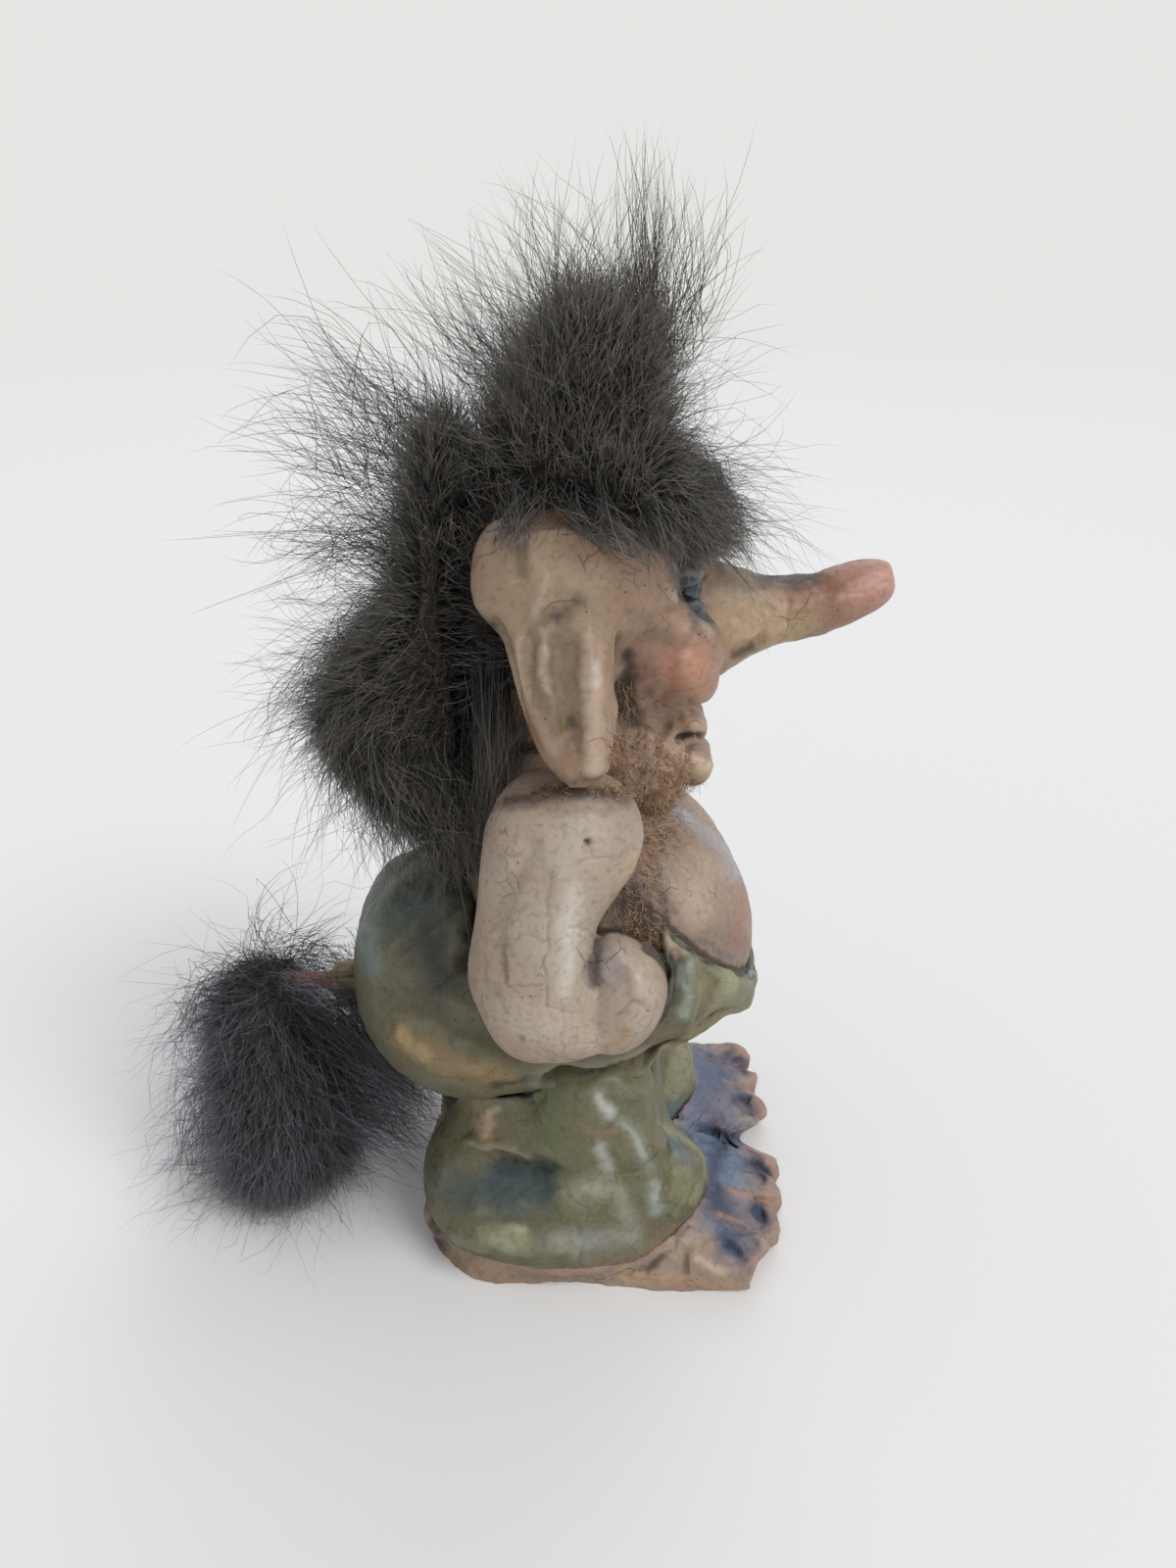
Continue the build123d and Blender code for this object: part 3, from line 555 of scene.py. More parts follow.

# Every row starts with a note. A pad has its centre and radii in millimetres. The other rows are
# strokes: a solid, a half width in pixels, what the stroke does, and its line in the photograph's
# pixels. A carve moves the skin outward and a trim moves it along X, inward and up, in millimetres.
# A blend smooths by its share, paint has a shade and a strength, and a row that darkens with patina and
# painted shade has a strength.
headSkin = {
    "nodes": ["head", "nose", "right_ear", "left_ear"],
    "neighbours": ["torso", "right_arm", "left_arm"],
    "voxel": 0.34, "smooth": 9, "lumps": {"headLumps": (7, 0.6), "headGrain": (1.6, 0.14)},
    "slot": "painted_skin", "finish": skinFinish, "seam": (0.6, 2.2), "base": "#a07a58",
    "pads": [
        ("temple", (0.5, 13.8, 102.0), (7.5, 4.6, 7.0)),
        ("hairline", (2.5, 11.0, 106.0), (6.0, 4.4, 4.6)),
        ("cheekbone", (5.5, 10.8, 93.2), (6.5, 4.0, 5.6)),
        ("cheek", (9.4, 8.0, 88.4), (4.3, 4.5, 4.3)),
        ("muzzle", (5.6, 1.5, 82.4), (3.6, 5.4, 4.4)),
        ("jaw", (3.0, 5.5, 77.0), (7.0, 7.0, 7.0)),
        ("behind the cheek", (1.5, 9.5, 92.5), (6.5, 6.2, 8.5)),
        ("upper lid", (8.3, 9.0, 101.5), (2.8, 1.9, 1.4)),
        ("brow", (9.0, 3.0, 103.0), (4.4, 5.5, 4.6)),
        ("lower lid", (8.8, 9.2, 97.3), (2.8, 1.9, 1.4)),
    ],
    "trim": [
        ("front of the ear", "ear", 26, (-0.6, 0, 0), [(634, 640), (634, 700)]),
        ("back of the ear", "ear", 46, (2.3, 0, 0),
         [(487, 660), (497, 700), (508, 740), (524, 782), (548, 806)]),
        ("top of the ear", "ear", 22, (0, 0, -1.0), [(530, 528), (575, 522), (610, 534)]),
        ("under the cheek", "head", 16, (-0.7, 0, 0.2), [(712, 722), (700, 726), (680, 722)]),
    ],
    "blend": [
        ("temple", "all", 30, 0.95, [(585, 560), (615, 590), (626, 625)]),
        ("temple", "all", 26, 0.9, [(640, 560), (660, 600)]),
        ("temple's foot", "all", 26, 0.9, [(632, 640), (665, 642), (690, 636)]),
        ("back of the face", "all", 22, 0.8, [(645, 730), (655, 790)]),
        ("temple's shelf", "all", 32, 0.95, [(620, 660), (650, 664), (672, 654)]),
        ("under the cheek", "all", 15, 0.75, [(664, 712), (686, 724), (706, 722)]),
        ("nose", "nose", 24, 0.8, [(840, 600), (846, 628)]),
    ],
    "carve": [
        ("recess before the ear", "head", 24, -1.2, [(640, 675), (638, 715)]),
        ("under the cheek", "head", 13, -0.4, [(662, 712), (684, 726), (706, 724)]),
        ("rim under the eye", "head", 10, 0.6, [(662, 590), (690, 616), (722, 650)]),
        ("socket", "head", 16, -1.2, [(703, 598), (722, 622)]),
        ("face fold", "head", 6, -0.35, [(668, 592), (661, 650)]),
        ("face fold", "head", 6, -0.3, [(648, 600), (642, 645)]),
        ("mouth", "head", 6, -1.1, [(692, 753), (716, 750)]),
        ("lip corner", "head", 8, -0.7, [(682, 735), (674, 758), (682, 780)]),
        ("lip wrinkle", "head", 4, -0.3, [(695, 762), (690, 790)]),
        ("lower lip", "head", 9, 0.5, [(706, 772), (722, 782)]),
        ("jaw", "head", 9, -0.5, [(668, 792), (700, 802)]),
        ("nostril hollow", "nose", 9, -0.7, [(748, 668), (776, 655)]),
        ("nostril edge", "nose", 7, 0.35, [(742, 694), (790, 668), (845, 645)]),
        ("nose ridge", "nose", 10, 0.3, [(750, 640), (800, 625), (850, 608)]),
        ("nose wrinkle", "nose", 3, -0.35, [(803, 612), (804, 642)]),
        ("nose wrinkle", "nose", 3, -0.15, [(841, 612), (842, 634)]),
        ("nose wrinkle", "nose", 3, -0.25, [(858, 604), (880, 606), (905, 592)]),
        ("nose wrinkle", "nose", 3, -0.2, [(776, 628), (780, 650)]),
        ("nose wrinkle", "nose", 3, -0.2, [(843, 596), (872, 588)]),
        ("nose top", "nose", 11, -0.3, [(775, 590), (835, 588)]),
        ("main valley", "ear", 24, -0.85, [(572, 660), (574, 700), (580, 745)]),
        ("second valley", "ear", 15, -0.6, [(541, 655), (541, 700), (552, 725)]),
        ("middle ridge", "ear", 15, 0.35, [(556, 665), (557, 705)]),
        ("back ridge", "ear", 16, 0.4, [(526, 662), (526, 699), (537, 735), (560, 765)]),
        ("front ridge", "ear", 20, 0.9, [(604, 655), (604, 700), (608, 745), (606, 780)]),
        ("top groove", "ear", 14, -0.7, [(531, 558), (529, 588)]),
        ("top fold", "ear", 16, 0.45, [(556, 590), (545, 625)]),
        ("stain hollow", "ear", 18, -0.5, [(560, 636), (585, 616)]),
        ("back step", "ear", 13, -1.2, [(497, 640), (506, 670), (510, 700), (518, 735)]),
    ],
    "paint": [
        ("ear", "ear", 140, "#b6996f", 1.0, [(560, 660)]),
        ("top of the ear", "ear", 40, "#aa8c64", 0.7, [(510, 575), (560, 545)]),
        ("pale top", "ear", 40, "#bfa177", 0.8, [(556, 585), (590, 600)]),
        # Painted shadow behind the ear
        ("behind the ear", "ear", 24, "#5a3b27", 0.95, [(497, 640), (503, 668), (510, 705), (522, 745)]),
        ("outer band", "ear", 20, "#c0a27a", 0.8, [(530, 650), (530, 700)]),
        ("low band", "ear", 22, "#a07643", 0.75, [(536, 735), (556, 765), (578, 785)]),
        # Painted shade down the ear's valleys
        ("valley", "ear", 15, "#85714f", 0.75, [(574, 660), (575, 700), (580, 735)]),
        ("valley's foot", "ear", 24, "#7d5a36", 0.75, [(568, 735), (580, 765)]),
        ("second valley", "ear", 12, "#978561", 0.6, [(541, 655), (541, 700), (552, 725)]),
        ("middle ridge", "ear", 12, "#c4b08a", 0.7, [(556, 660), (557, 705)]),
        ("stain", "ear", 22, "#787461", 0.75, [(566, 632), (592, 614)]),
        ("stain's tail", "ear", 9, "#6f6b5a", 0.6, [(541, 645), (556, 634)]),
        # Painted shade in the groove
        ("groove", "ear", 10, "#74644e", 0.7, [(530, 558), (529, 584)]),
        # The front rim is painted lit, with a painted pink and white highlight on it
        ("front rim", "ear", 18, "#c8a87c", 0.9, [(604, 655), (604, 700), (608, 745), (606, 780)]),
        ("pink rim", "ear", 11, "#e0a98f", 0.95, [(612, 660), (610, 708)]),
        ("rim light", "ear", 8, "#f2e6dc", 0.95, [(608, 678), (608, 698)]),
        # Painted shadow under the lobe
        ("under the lobe", "ear", 10, "#8a6640", 0.7, [(560, 788), (585, 797), (615, 797)]),
        ("face", "head", 60, "#a98058", 1.0, [(650, 610), (670, 640)]),
        ("temple", "head", 34, "#a8845c", 0.9, [(600, 570), (650, 575)]),
        # Painted shade under the edge of the hair
        ("hairline", "head", 24, "#6d543c", 0.9, [(580, 545), (640, 548), (700, 560)]),
        ("pale face", "head", 24, "#ba9470", 0.7, [(655, 612), (688, 640)]),
        ("cheek glow", "head", 48, "#b57148", 0.9, [(692, 676)]),
        ("cheek", "head", 38, "#d58656", 0.9, [(708, 686)]),
        # Painted highlight on the cheek
        ("cheek highlight", "head", 10, "#e2b094", 0.7, [(697, 667)]),
        # Painted shade at the recess before the ear, then in the eye socket
        ("recess edge", "head", 16, "#7a4e38", 0.8, [(660, 680), (662, 706)]),
        ("eye socket", "head", 26, "#56626a", 0.9, [(702, 594), (722, 620)]),
        ("brow", "head", 20, "#6f6456", 0.8, [(700, 560), (735, 572)]),
        ("jaw", "head", 48, "#b38f6e", 0.95, [(645, 750), (665, 810), (660, 850)]),
        ("upper lip", "head", 15, "#bd8862", 0.9, [(698, 734), (714, 742)]),
        ("lip dark", "head", 6, "#6b4634", 0.8, [(694, 752), (716, 750)]),
        ("lower lip", "head", 15, "#dcba8c", 0.95, [(704, 772), (722, 784)]),
        ("lip wrinkles", "head", 12, "#b8936a", 0.7, [(685, 765), (700, 788)]),
        ("nose root", "nose", 60, "#bd9866", 1.0, [(745, 640), (790, 630)]),
        ("nose bridge", "nose", 20, "#8c7c60", 0.8, [(735, 590), (762, 596)]),
        ("nose pale", "nose", 14, "#cdae7c", 0.8, [(752, 650), (800, 636), (830, 630)]),
        ("nostril edge", "nose", 12, "#c2a470", 0.8, [(742, 692), (790, 660), (830, 640)]),
        ("nose tip", "nose", 74, "#c07c60", 1.0, [(880, 600), (910, 590)]),
        ("nose middle", "nose", 20, "#a06844", 0.9, [(808, 598), (850, 598)]),
        ("nose end", "nose", 20, "#cf8868", 0.7, [(880, 600), (905, 592)]),
        # Painted highlight along the nose
        ("nose shine", "nose", 8, "#d9a894", 0.7, [(856, 610), (880, 602), (898, 594)]),
        ("nose dirt", "nose", 15, "#54423a", 0.9, [(778, 592), (830, 590)]),
        ("nostril dirt", "nose", 9, "#57432f", 0.9, [(750, 668), (768, 660)]),
        ("chip", "nose", 4, "#f4efe8", 1.0, [(912, 578)]),
        # Painted shade around the eye
        ("wide socket", "head", 32, "#59636a", 0.75, [(700, 585), (725, 622)]),
        ("nose's change", "nose", 24, "#a9784c", 0.7, [(820, 622), (856, 632)]),
        # Painted shade on the temple, the lids and in the recess
        ("temple shade", "head", 20, "#7c6248", 0.8, [(640, 640), (680, 650)]),
        ("lids", "head", 14, "#56626a", 0.9, [(696, 585), (716, 600), (712, 628)]),
        ("recess rim", "head", 18, "#8a5a44", 0.6, [(640, 652), (656, 690), (656, 730)]),
        ("recess", "head", 24, "#49322a", 0.95, [(624, 668), (630, 700), (640, 732)]),
        ("darker ear", "ear", 140, "#8d7048", 0.65, [(560, 660)]),
        # Painted shade over the middle of the ear
        ("shaded middle", "ear", 34, "#806a48", 0.5, [(560, 640), (562, 730)]),
        # Painted shade over the eye
        ("eye's shade", "head", 18, "#454f56", 0.8, [(700, 590), (716, 622)]),
    ],
    # Darkening rows: the nose top and the stain are patina and a stain; the recess, socket, under the
    # lobe, behind the ear and hairline are painted shade
    "grime": [
        ("recess", "head", 24, 0.75, [(638, 668), (640, 700), (650, 738)]),
        ("mouth", "head", 6, 0.7, [(690, 752), (715, 750)]),
        ("socket", "head", 14, 0.4, [(704, 600), (728, 640)]),
        ("jaw", "head", 34, 0.12, [(650, 770), (655, 840)]),
        ("nose top", "nose", 14, 0.5, [(780, 590), (828, 588)]),
        ("under the lobe", "ear", 10, 0.5, [(575, 797), (615, 796)]),
        ("stain", "ear", 18, 0.45, [(566, 632), (592, 614)]),
        ("behind the ear", "ear", 16, 0.7, [(500, 640), (508, 700), (524, 750)]),
        ("hairline", "head", 22, 0.5, [(600, 552), (650, 552), (690, 566)]),
        ("recess", "head", 22, 0.6, [(624, 668), (634, 720)]),
    ],
}
armSkin = {
    "neighbours": ["torso", "trouser_seat", "head"],
    "voxel": 0.272, "smooth": 12, "lumps": {"armLumps": (9, 0.7), "armGrain": (1.8, 0.1)},
    "slot": "painted_skin", "finish": skinFinish, "seam": (0.4, 1.6), "base": "#b09880",
    "carve": [
        ("back fold", "arm", 13, -0.6, [(543, 862), (524, 905), (508, 950), (510, 985)]),
        ("low fold", "arm", 7, -0.4, [(509, 1012), (516, 1034)]),
        ("long crack", "arm", 3, -0.3, [(561, 887), (557, 923), (563, 941), (555, 984), (555, 1030)]),
        ("crack", "arm", 2.5, -0.22, [(518, 964), (537, 954), (557, 961), (580, 956)]),
        ("crack", "arm", 2.5, -0.22, [(519, 1007), (552, 1005)]),
        ("crack", "arm", 2.5, -0.22, [(555, 1030), (573, 1035), (593, 1034)]),
        ("crack", "arm", 2.5, -0.22, [(579, 887), (600, 876), (614, 876), (634, 872)]),
        ("crack", "arm", 2.5, -0.22, [(583, 945), (606, 958)]),
        ("crack", "arm", 2.5, -0.2, [(573, 1036), (573, 1075)]),
        ("crack", "arm", 2.5, -0.2, [(600, 862), (605, 874)]),
        ("pinhole", "arm", 5.5, -1.0, [(599, 858)]),
        ("thumb", "arm", 14, 0.4, [(645, 985), (655, 1015)]),
        ("finger crack", "arm", 3, -0.3, [(626, 1038), (647, 1023), (661, 1032)]),
        ("shoulder", "arm", 12, -0.3, [(560, 822), (620, 822)]),
        ("elbow slit", "arm", 2.6, -0.3, [(514, 964), (515, 985), (517, 1000)]),
        ("elbow fold", "arm", 11, 0.4, [(504, 955), (504, 995)]),
    ],
    "paint": [
        ("arm", "arm", 90, "#b9a78f", 0.95, [(570, 860), (560, 1020)]),
        # Painted light down the arm's lit middle, and a painted highlight band
        ("pale arm", "arm", 44, "#c4b49d", 0.85, [(590, 870), (580, 1000)]),
        ("highlight band", "arm", 16, "#d9d0c4", 0.95, [(585, 910), (580, 960), (578, 1012)]),
        ("low arm", "arm", 36, "#cfbba4", 0.75, [(535, 1040), (600, 1062)]),
        ("elbow", "arm", 15, "#bd9c80", 0.75, [(500, 1045), (545, 1078), (600, 1085), (640, 1070)]),
        # Painted shade along the arm's edges
        ("back edge", "arm", 18, "#a88a6c", 0.75, [(500, 850), (490, 930), (484, 1000)]),
        ("back shade", "arm", 14, "#9a8268", 0.6, [(522, 900), (508, 950), (505, 1010)]),
        ("front edge", "arm", 9, "#c29a68", 0.7, [(648, 870), (634, 912), (614, 950)]),
        ("elbow slit", "arm", 4, "#7c6048", 0.6, [(514, 966), (517, 1000)]),
        ("palm haze", "arm", 24, "#b09c8c", 0.6, [(624, 990), (628, 1020)]),
        ("hand", "arm", 16, "#bfad95", 0.8, [(652, 985), (662, 1020), (645, 1050)]),
        ("wrist brown", "arm", 9, "#b08450", 0.7, [(640, 1052), (622, 1068)]),
        ("brown spot", "arm", 6, "#8a5630", 0.8, [(534, 1058)]),
        ("top dirt", "arm", 13, "#715a48", 0.85, [(520, 822), (570, 808), (640, 816)]),
        ("pinhole", "arm", 5, "#2e2a26", 1.0, [(599, 858)]),
        ("crook", "arm", 13, "#5c5558", 0.9, [(612, 962), (606, 985), (606, 1002)]),
        ("crook haze", "arm", 22, "#8b8186", 0.6, [(622, 972), (628, 990)]),
    ],
    "grime": [
        ("shoulder", "arm", 14, 0.6, [(500, 824), (560, 804), (645, 808)]),
        ("crook", "arm", 20, 0.55, [(612, 962), (608, 992)]),
    ],
}
bellySkin = {
    "nodes": ["torso"], "neighbours": ["trouser_seat", "right_arm", "left_arm", "head"],
    "voxel": 0.46, "smooth": 4, "lumps": {"bellyLumps": (9, 0.7), "bellyGrain": (1.4, 0.16)},
    "slot": "painted_skin", "finish": skinFinish, "seam": (0.3, 1.2), "base": "#957a62",
    "carve": [
        ("belly's edge", "all", 14, -0.6, [(668, 868), (676, 900), (682, 935)]),
        ("slit", "all", 4, -0.6, [(674, 847), (675, 861)]),
        ("crack", "all", 3, -0.25, [(707, 911), (716, 919), (727, 918)]),
        ("belly", "all", 46, 0.5, [(718, 905)]),
    ],
    "paint": [
        ("belly", "all", 64, "#b5967a", 1.0, [(715, 900)]),
        ("belly front", "all", 22, "#a97a5c", 0.8, [(757, 890), (760, 950)]),
        ("belly low", "all", 16, "#95634c", 0.8, [(748, 958), (760, 965)]),
        # Painted highlight along the belly's top edge
        ("blue edge", "all", 14, "#adacb2", 0.85, [(688, 828), (718, 845), (740, 867), (752, 890)]),
        ("pale belly", "all", 26, "#bfa085", 0.8, [(712, 890), (712, 935)]),
        ("dirt", "all", 30, "#574a46", 0.9, [(622, 930), (645, 915), (658, 945)]),
        ("matted front", "all", 22, "#8a6a52", 0.8, [(652, 860), (648, 890)]),
        ("dirty edge", "all", 12, "#5f5350", 0.7, [(668, 880), (676, 915), (680, 945)]),
        ("throat", "all", 24, "#a27e60", 0.95, [(665, 800), (660, 870)]),
        ("over the hand", "all", 22, "#5b5457", 0.9, [(640, 900), (650, 940), (668, 955)]),
        ("rim dirt", "all", 5, "#6a6468", 0.7, [(684, 950), (720, 964), (750, 979)]),
    ],
    "grime": [
        ("crook", "all", 26, 0.9, [(640, 910), (650, 955)]),
        ("belly's edge", "all", 9, 0.5, [(672, 890), (680, 940)]),
        ("throat", "all", 22, 0.1, [(664, 820), (660, 870)]),
    ],
}
seatSkin = {
    "nodes": ["trouser_seat"],
    "neighbours": ["torso", "right_arm", "left_arm"],
    "voxel": 0.49, "smooth": 6, "lumps": {"seatLumps": (10, 1.4), "seatGrain": (2.2, 0.2)},
    "slot": "painted_trousers", "finish": trouserFinish, "seam": (0.3, 1.6), "base": "#6a6549",
    "blend": [
        ("edge of the flap", "all", 20, 0.95, [(662, 925), (664, 960), (668, 990)]),
        ("rim", "all", 12, 0.5, [(690, 955), (722, 968), (768, 993)]),
    ],
    "trim": [
        ("corner of the flap", "all", 18, (0, 2.4, -1.6), [(661, 926), (664, 965)]),
        ("under the flap", "all", 38, (-1.5, 0, 2.8), [(744, 1056), (718, 1078), (690, 1090)]),
        ("under the roll", "all", 34, (0, 0, 1.1), [(522, 1132), (566, 1128)]),
    ],
    "carve": [
        ("top fold", "all", 12, -0.6, [(440, 905), (415, 935), (390, 960)]),
        ("roll", "all", 14, 0.7, [(410, 905), (378, 945)]),
        ("middle hollow", "all", 24, -0.7, [(400, 1010), (440, 1020)]),
        ("low roll", "all", 16, 0.7, [(410, 1055), (440, 1088), (490, 1090)]),
        ("crack", "all", 3, -0.25, [(460, 1060), (464, 1080), (490, 1092)]),
        ("pocket", "all", 10, -0.8, [(688, 972), (696, 1000), (690, 1030)]),
        ("pocket roll", "all", 8, 0.5, [(700, 975), (712, 1005), (704, 1040)]),
        ("flap valley", "all", 8, -0.5, [(722, 980), (726, 1010), (714, 1040)]),
        ("flap", "all", 12, 0.4, [(740, 990), (742, 1015)]),
        ("rim", "all", 5, 0.4, [(692, 957), (722, 969), (765, 993)]),
        ("under the elbow", "all", 24, -4.2, [(570, 1108), (610, 1112), (652, 1102), (690, 1080)]),
        ("above the roll", "all", 16, -0.8, [(390, 1018), (430, 1030), (487, 1050), (520, 1078)]),
        ("streak", "all", 7, -0.35, [(470, 925), (420, 960), (385, 1000)]),
        ("streak", "all", 7, -0.3, [(478, 985), (440, 1010), (410, 1015)]),
        ("cleft behind the arm", "all", 19, -1.6, [(496, 922), (482, 950), (478, 985)]),
    ],
    "paint": [
        ("seat top", "all", 60, "#4f5c55", 0.95, [(390, 930), (440, 920)]),
        # Painted glint along the left edge
        ("blue glint", "all", 20, "#71827c", 0.8, [(376, 950), (378, 985)]),
        ("green", "all", 18, "#5b6350", 0.6, [(385, 1015)]),
        ("ochre roll", "all", 28, "#987b45", 0.9, [(415, 1060), (460, 1090), (510, 1098)]),
        # Painted highlight on the roll
        ("ochre highlight", "all", 14, "#b5965c", 0.8, [(412, 1058), (432, 1075)]),
        ("flap", "all", 50, "#89835a", 0.9, [(735, 1010)]),
        # Painted highlight on the flap
        ("flap highlight", "all", 15, "#9c9c72", 0.7, [(745, 1000), (735, 1030)]),
        ("flap low", "all", 14, "#857046", 0.8, [(680, 1068), (715, 1050), (740, 1030)]),
        ("pocket edge", "all", 10, "#aab8a8", 0.9, [(700, 985), (704, 1010), (696, 1035)]),
        ("pocket dark", "all", 8, "#4c5048", 0.9, [(684, 965), (688, 1000), (682, 1035)]),
        ("blue rim", "all", 6, "#9cb0ba", 0.9, [(692, 955), (722, 967), (768, 994)]),
        ("rim tan", "all", 7, "#b09a72", 0.7, [(680, 962), (690, 972)]),
        ("below the hand", "all", 12, "#6e5840", 0.8, [(640, 1080), (668, 1056), (682, 1034)]),
        ("under the elbow", "all", 16, "#70704c", 0.8, [(560, 1105), (640, 1102)]),
        ("flap's back edge", "all", 12, "#6a6258", 0.95, [(660, 925), (666, 960)]),
        ("flesh patch", "all", 9, "#b49a80", 0.7, [(678, 962), (694, 972)]),
        # Painted shade over the seat's side
        ("shaded side", "all", 46, "#2e2d26", 0.85, [(440, 960), (450, 1000)]),
    ],
    "grime": [
        ("pocket", "all", 9, 0.7, [(682, 970), (688, 1000), (680, 1040)]),
        ("seat dust", "all", 40, 0.25, [(440, 990)]),
        ("under the elbow", "all", 9, 0.7, [(500, 1108), (540, 1100), (648, 1090)]),
        ("flap's back edge", "all", 12, 0.8, [(662, 925), (668, 960)]),
        # Painted shadow in the cleft behind the arm
        ("cleft", "all", 17, 0.95, [(496, 922), (482, 950), (478, 985)]),
        ("streak", "all", 9, 0.4, [(478, 935), (440, 950), (410, 975)]),
    ],
}
legSkin = {
    "neighbours": ["feet_base"],
    "voxel": 0.37, "smooth": 5, "lumps": {"legLumps": (8, 1.3), "legGrain": (2.2, 0.2)},
    "slot": "painted_trousers", "finish": trouserFinish, "seam": (0.0, 0.7), "base": "#6e694b",
    "swell": 0.4,
    "pads": [
        ("thigh", (-2.5, 16.2, 30.5), (8.7, 7.3, 7.4)),
        ("above the knee", (-1.0, 17.6, 24.0), (9.5, 6.0, 6.4)),
    ],
    "trim": [("front of the knee", "all", 46, (-3.6, 0, 0), [(714, 1084), (710, 1138)])],
    "blend": [
        ("thigh", "all", 44, 0.9, [(550, 1150), (600, 1160), (650, 1150)]),
        ("thigh", "all", 34, 0.9, [(560, 1110), (570, 1180), (600, 1190)]),
        ("knee's top", "all", 22, 0.95, [(606, 1198), (640, 1200), (668, 1196)]),
    ],
    "carve": [
        ("knee", "all", 18, 0.7, [(600, 1210)]),
        ("fold over the patch", "all", 13, 1.3, [(484, 1166), (530, 1172), (570, 1184)]),
        ("low lobe", "all", 19, 1.2, [(470, 1262), (530, 1268), (590, 1276)]),
        ("thigh hollow", "all", 15, -1.8, [(528, 1100), (545, 1118), (540, 1136)]),
        ("thigh bulge", "all", 22, 1.0, [(494, 1146)]),
        ("green column", "all", 16, 0.35, [(563, 1120), (566, 1160)]),
        ("seam", "all", 5, -0.5, [(582, 1116), (585, 1164)]),
        ("upper hollow", "all", 14, -0.9, [(622, 1128), (640, 1134)]),
        ("front valley", "all", 12, -0.45, [(612, 1168), (632, 1192), (642, 1230)]),
        ("front lobe", "all", 16, 0.7, [(692, 1176), (700, 1206), (686, 1236)]),
        ("lobe line", "all", 6, -0.5, [(680, 1150), (682, 1200), (678, 1240)]),
        ("low crease", "all", 5, -0.4, [(590, 1252), (592, 1288)]),
        ("upper ring", "all", 12, 0.35, [(602, 1112), (628, 1102), (654, 1116), (658, 1140)]),
        ("front ridge", "all", 14, 0.7, [(634, 1146), (652, 1168), (661, 1194), (668, 1222)]),
        ("patch hollow", "all", 34, -1.7, [(478, 1212), (520, 1206), (550, 1206)]),
        ("knee fold", "all", 4, -0.35,
         [(573, 1195), (583, 1226), (605, 1240), (620, 1226), (628, 1205), (618, 1187)]),
    ],
    "paint": [
        ("olive", "all", 110, "#76724e", 0.8, [(590, 1180)]),
        ("green thigh", "all", 26, "#66703f", 0.85, [(560, 1112), (568, 1160)]),
        ("ochre bulge", "all", 20, "#94794e", 0.85, [(488, 1140), (500, 1160)]),
        # Painted highlight crescent on the thigh bulge
        ("pink crescent", "all", 8, "#b09a80", 0.8, [(508, 1130), (498, 1142), (496, 1160)]),
        # Painted highlights in the two hollows
        ("white hollow", "all", 13, "#b9bcb6", 0.9, [(612, 1122), (622, 1134)]),
        ("mauve hollow", "all", 13, "#b0aeac", 0.9, [(612, 1172), (620, 1194)]),
        ("knee ochre", "all", 9, "#8f7656", 0.6, [(596, 1150), (606, 1160), (632, 1150)]),
        ("knee grey", "all", 17, "#9a9484", 0.75, [(632, 1215), (640, 1240)]),
        ("front lobe", "all", 20, "#85855a", 0.8, [(690, 1185), (700, 1215)]),
        ("blue in the hem", "all", 14, "#5a6b74", 0.9, [(688, 1160), (698, 1182)]),
        ("hem", "all", 6, "#9c9a70", 0.7, [(677, 1146), (716, 1174), (720, 1196), (707, 1226)]),
        ("low brown", "all", 12, "#857252", 0.7, [(600, 1292), (650, 1284), (690, 1250)]),
        ("dark streaks", "all", 9, "#63665a", 0.6, [(586, 1250), (590, 1286)]),
        ("spot", "all", 15, "#3c362e", 0.9, [(536, 1106), (530, 1116)]),
        ("grey patch", "all", 36, "#4c5751", 0.9, [(462, 1214), (520, 1226), (548, 1222)]),
        ("teal patch", "all", 32, "#3a4f55", 0.9, [(505, 1204), (552, 1204)]),
        # Painted shadow under the fold
        ("shadow under the fold", "all", 16, "#26363b", 0.85, [(512, 1190), (562, 1193)]),
        ("pale lobe", "all", 20, "#9da07a", 0.85, [(500, 1262), (535, 1268)]),
        # Painted highlight on the pale lobe
        ("pale lobe highlight", "all", 10, "#b7b99e", 0.7, [(520, 1256), (534, 1254)]),
        ("grey lobe", "all", 22, "#9c9b92", 0.8, [(570, 1262), (600, 1268), (645, 1262)]),
        # Painted highlight streak down the front
        ("front streak", "all", 14, "#989f92", 0.55, [(636, 1146), (652, 1168), (660, 1192)]),
        ("front patch", "all", 15, "#a3aca8", 0.75, [(666, 1212), (670, 1232)]),
        ("streak highlight", "all", 5, "#bcc3bb", 0.45, [(638, 1150), (650, 1168), (658, 1186)]),
        ("khaki", "all", 22, "#a3a08e", 0.75, [(590, 1215), (615, 1210)]),
    ],
    "grime": [
        ("thigh hollow", "all", 17, 0.8, [(528, 1100), (540, 1112)]),
        # Painted shadow along the top of the patch
        ("patch top", "all", 8, 0.6, [(500, 1182), (540, 1186), (568, 1194)]),
        ("back", "all", 24, 0.5, [(450, 1150), (440, 1220)]),
        ("under the elbow", "all", 7, 0.7, [(590, 1096), (620, 1094)]),
    ],
}
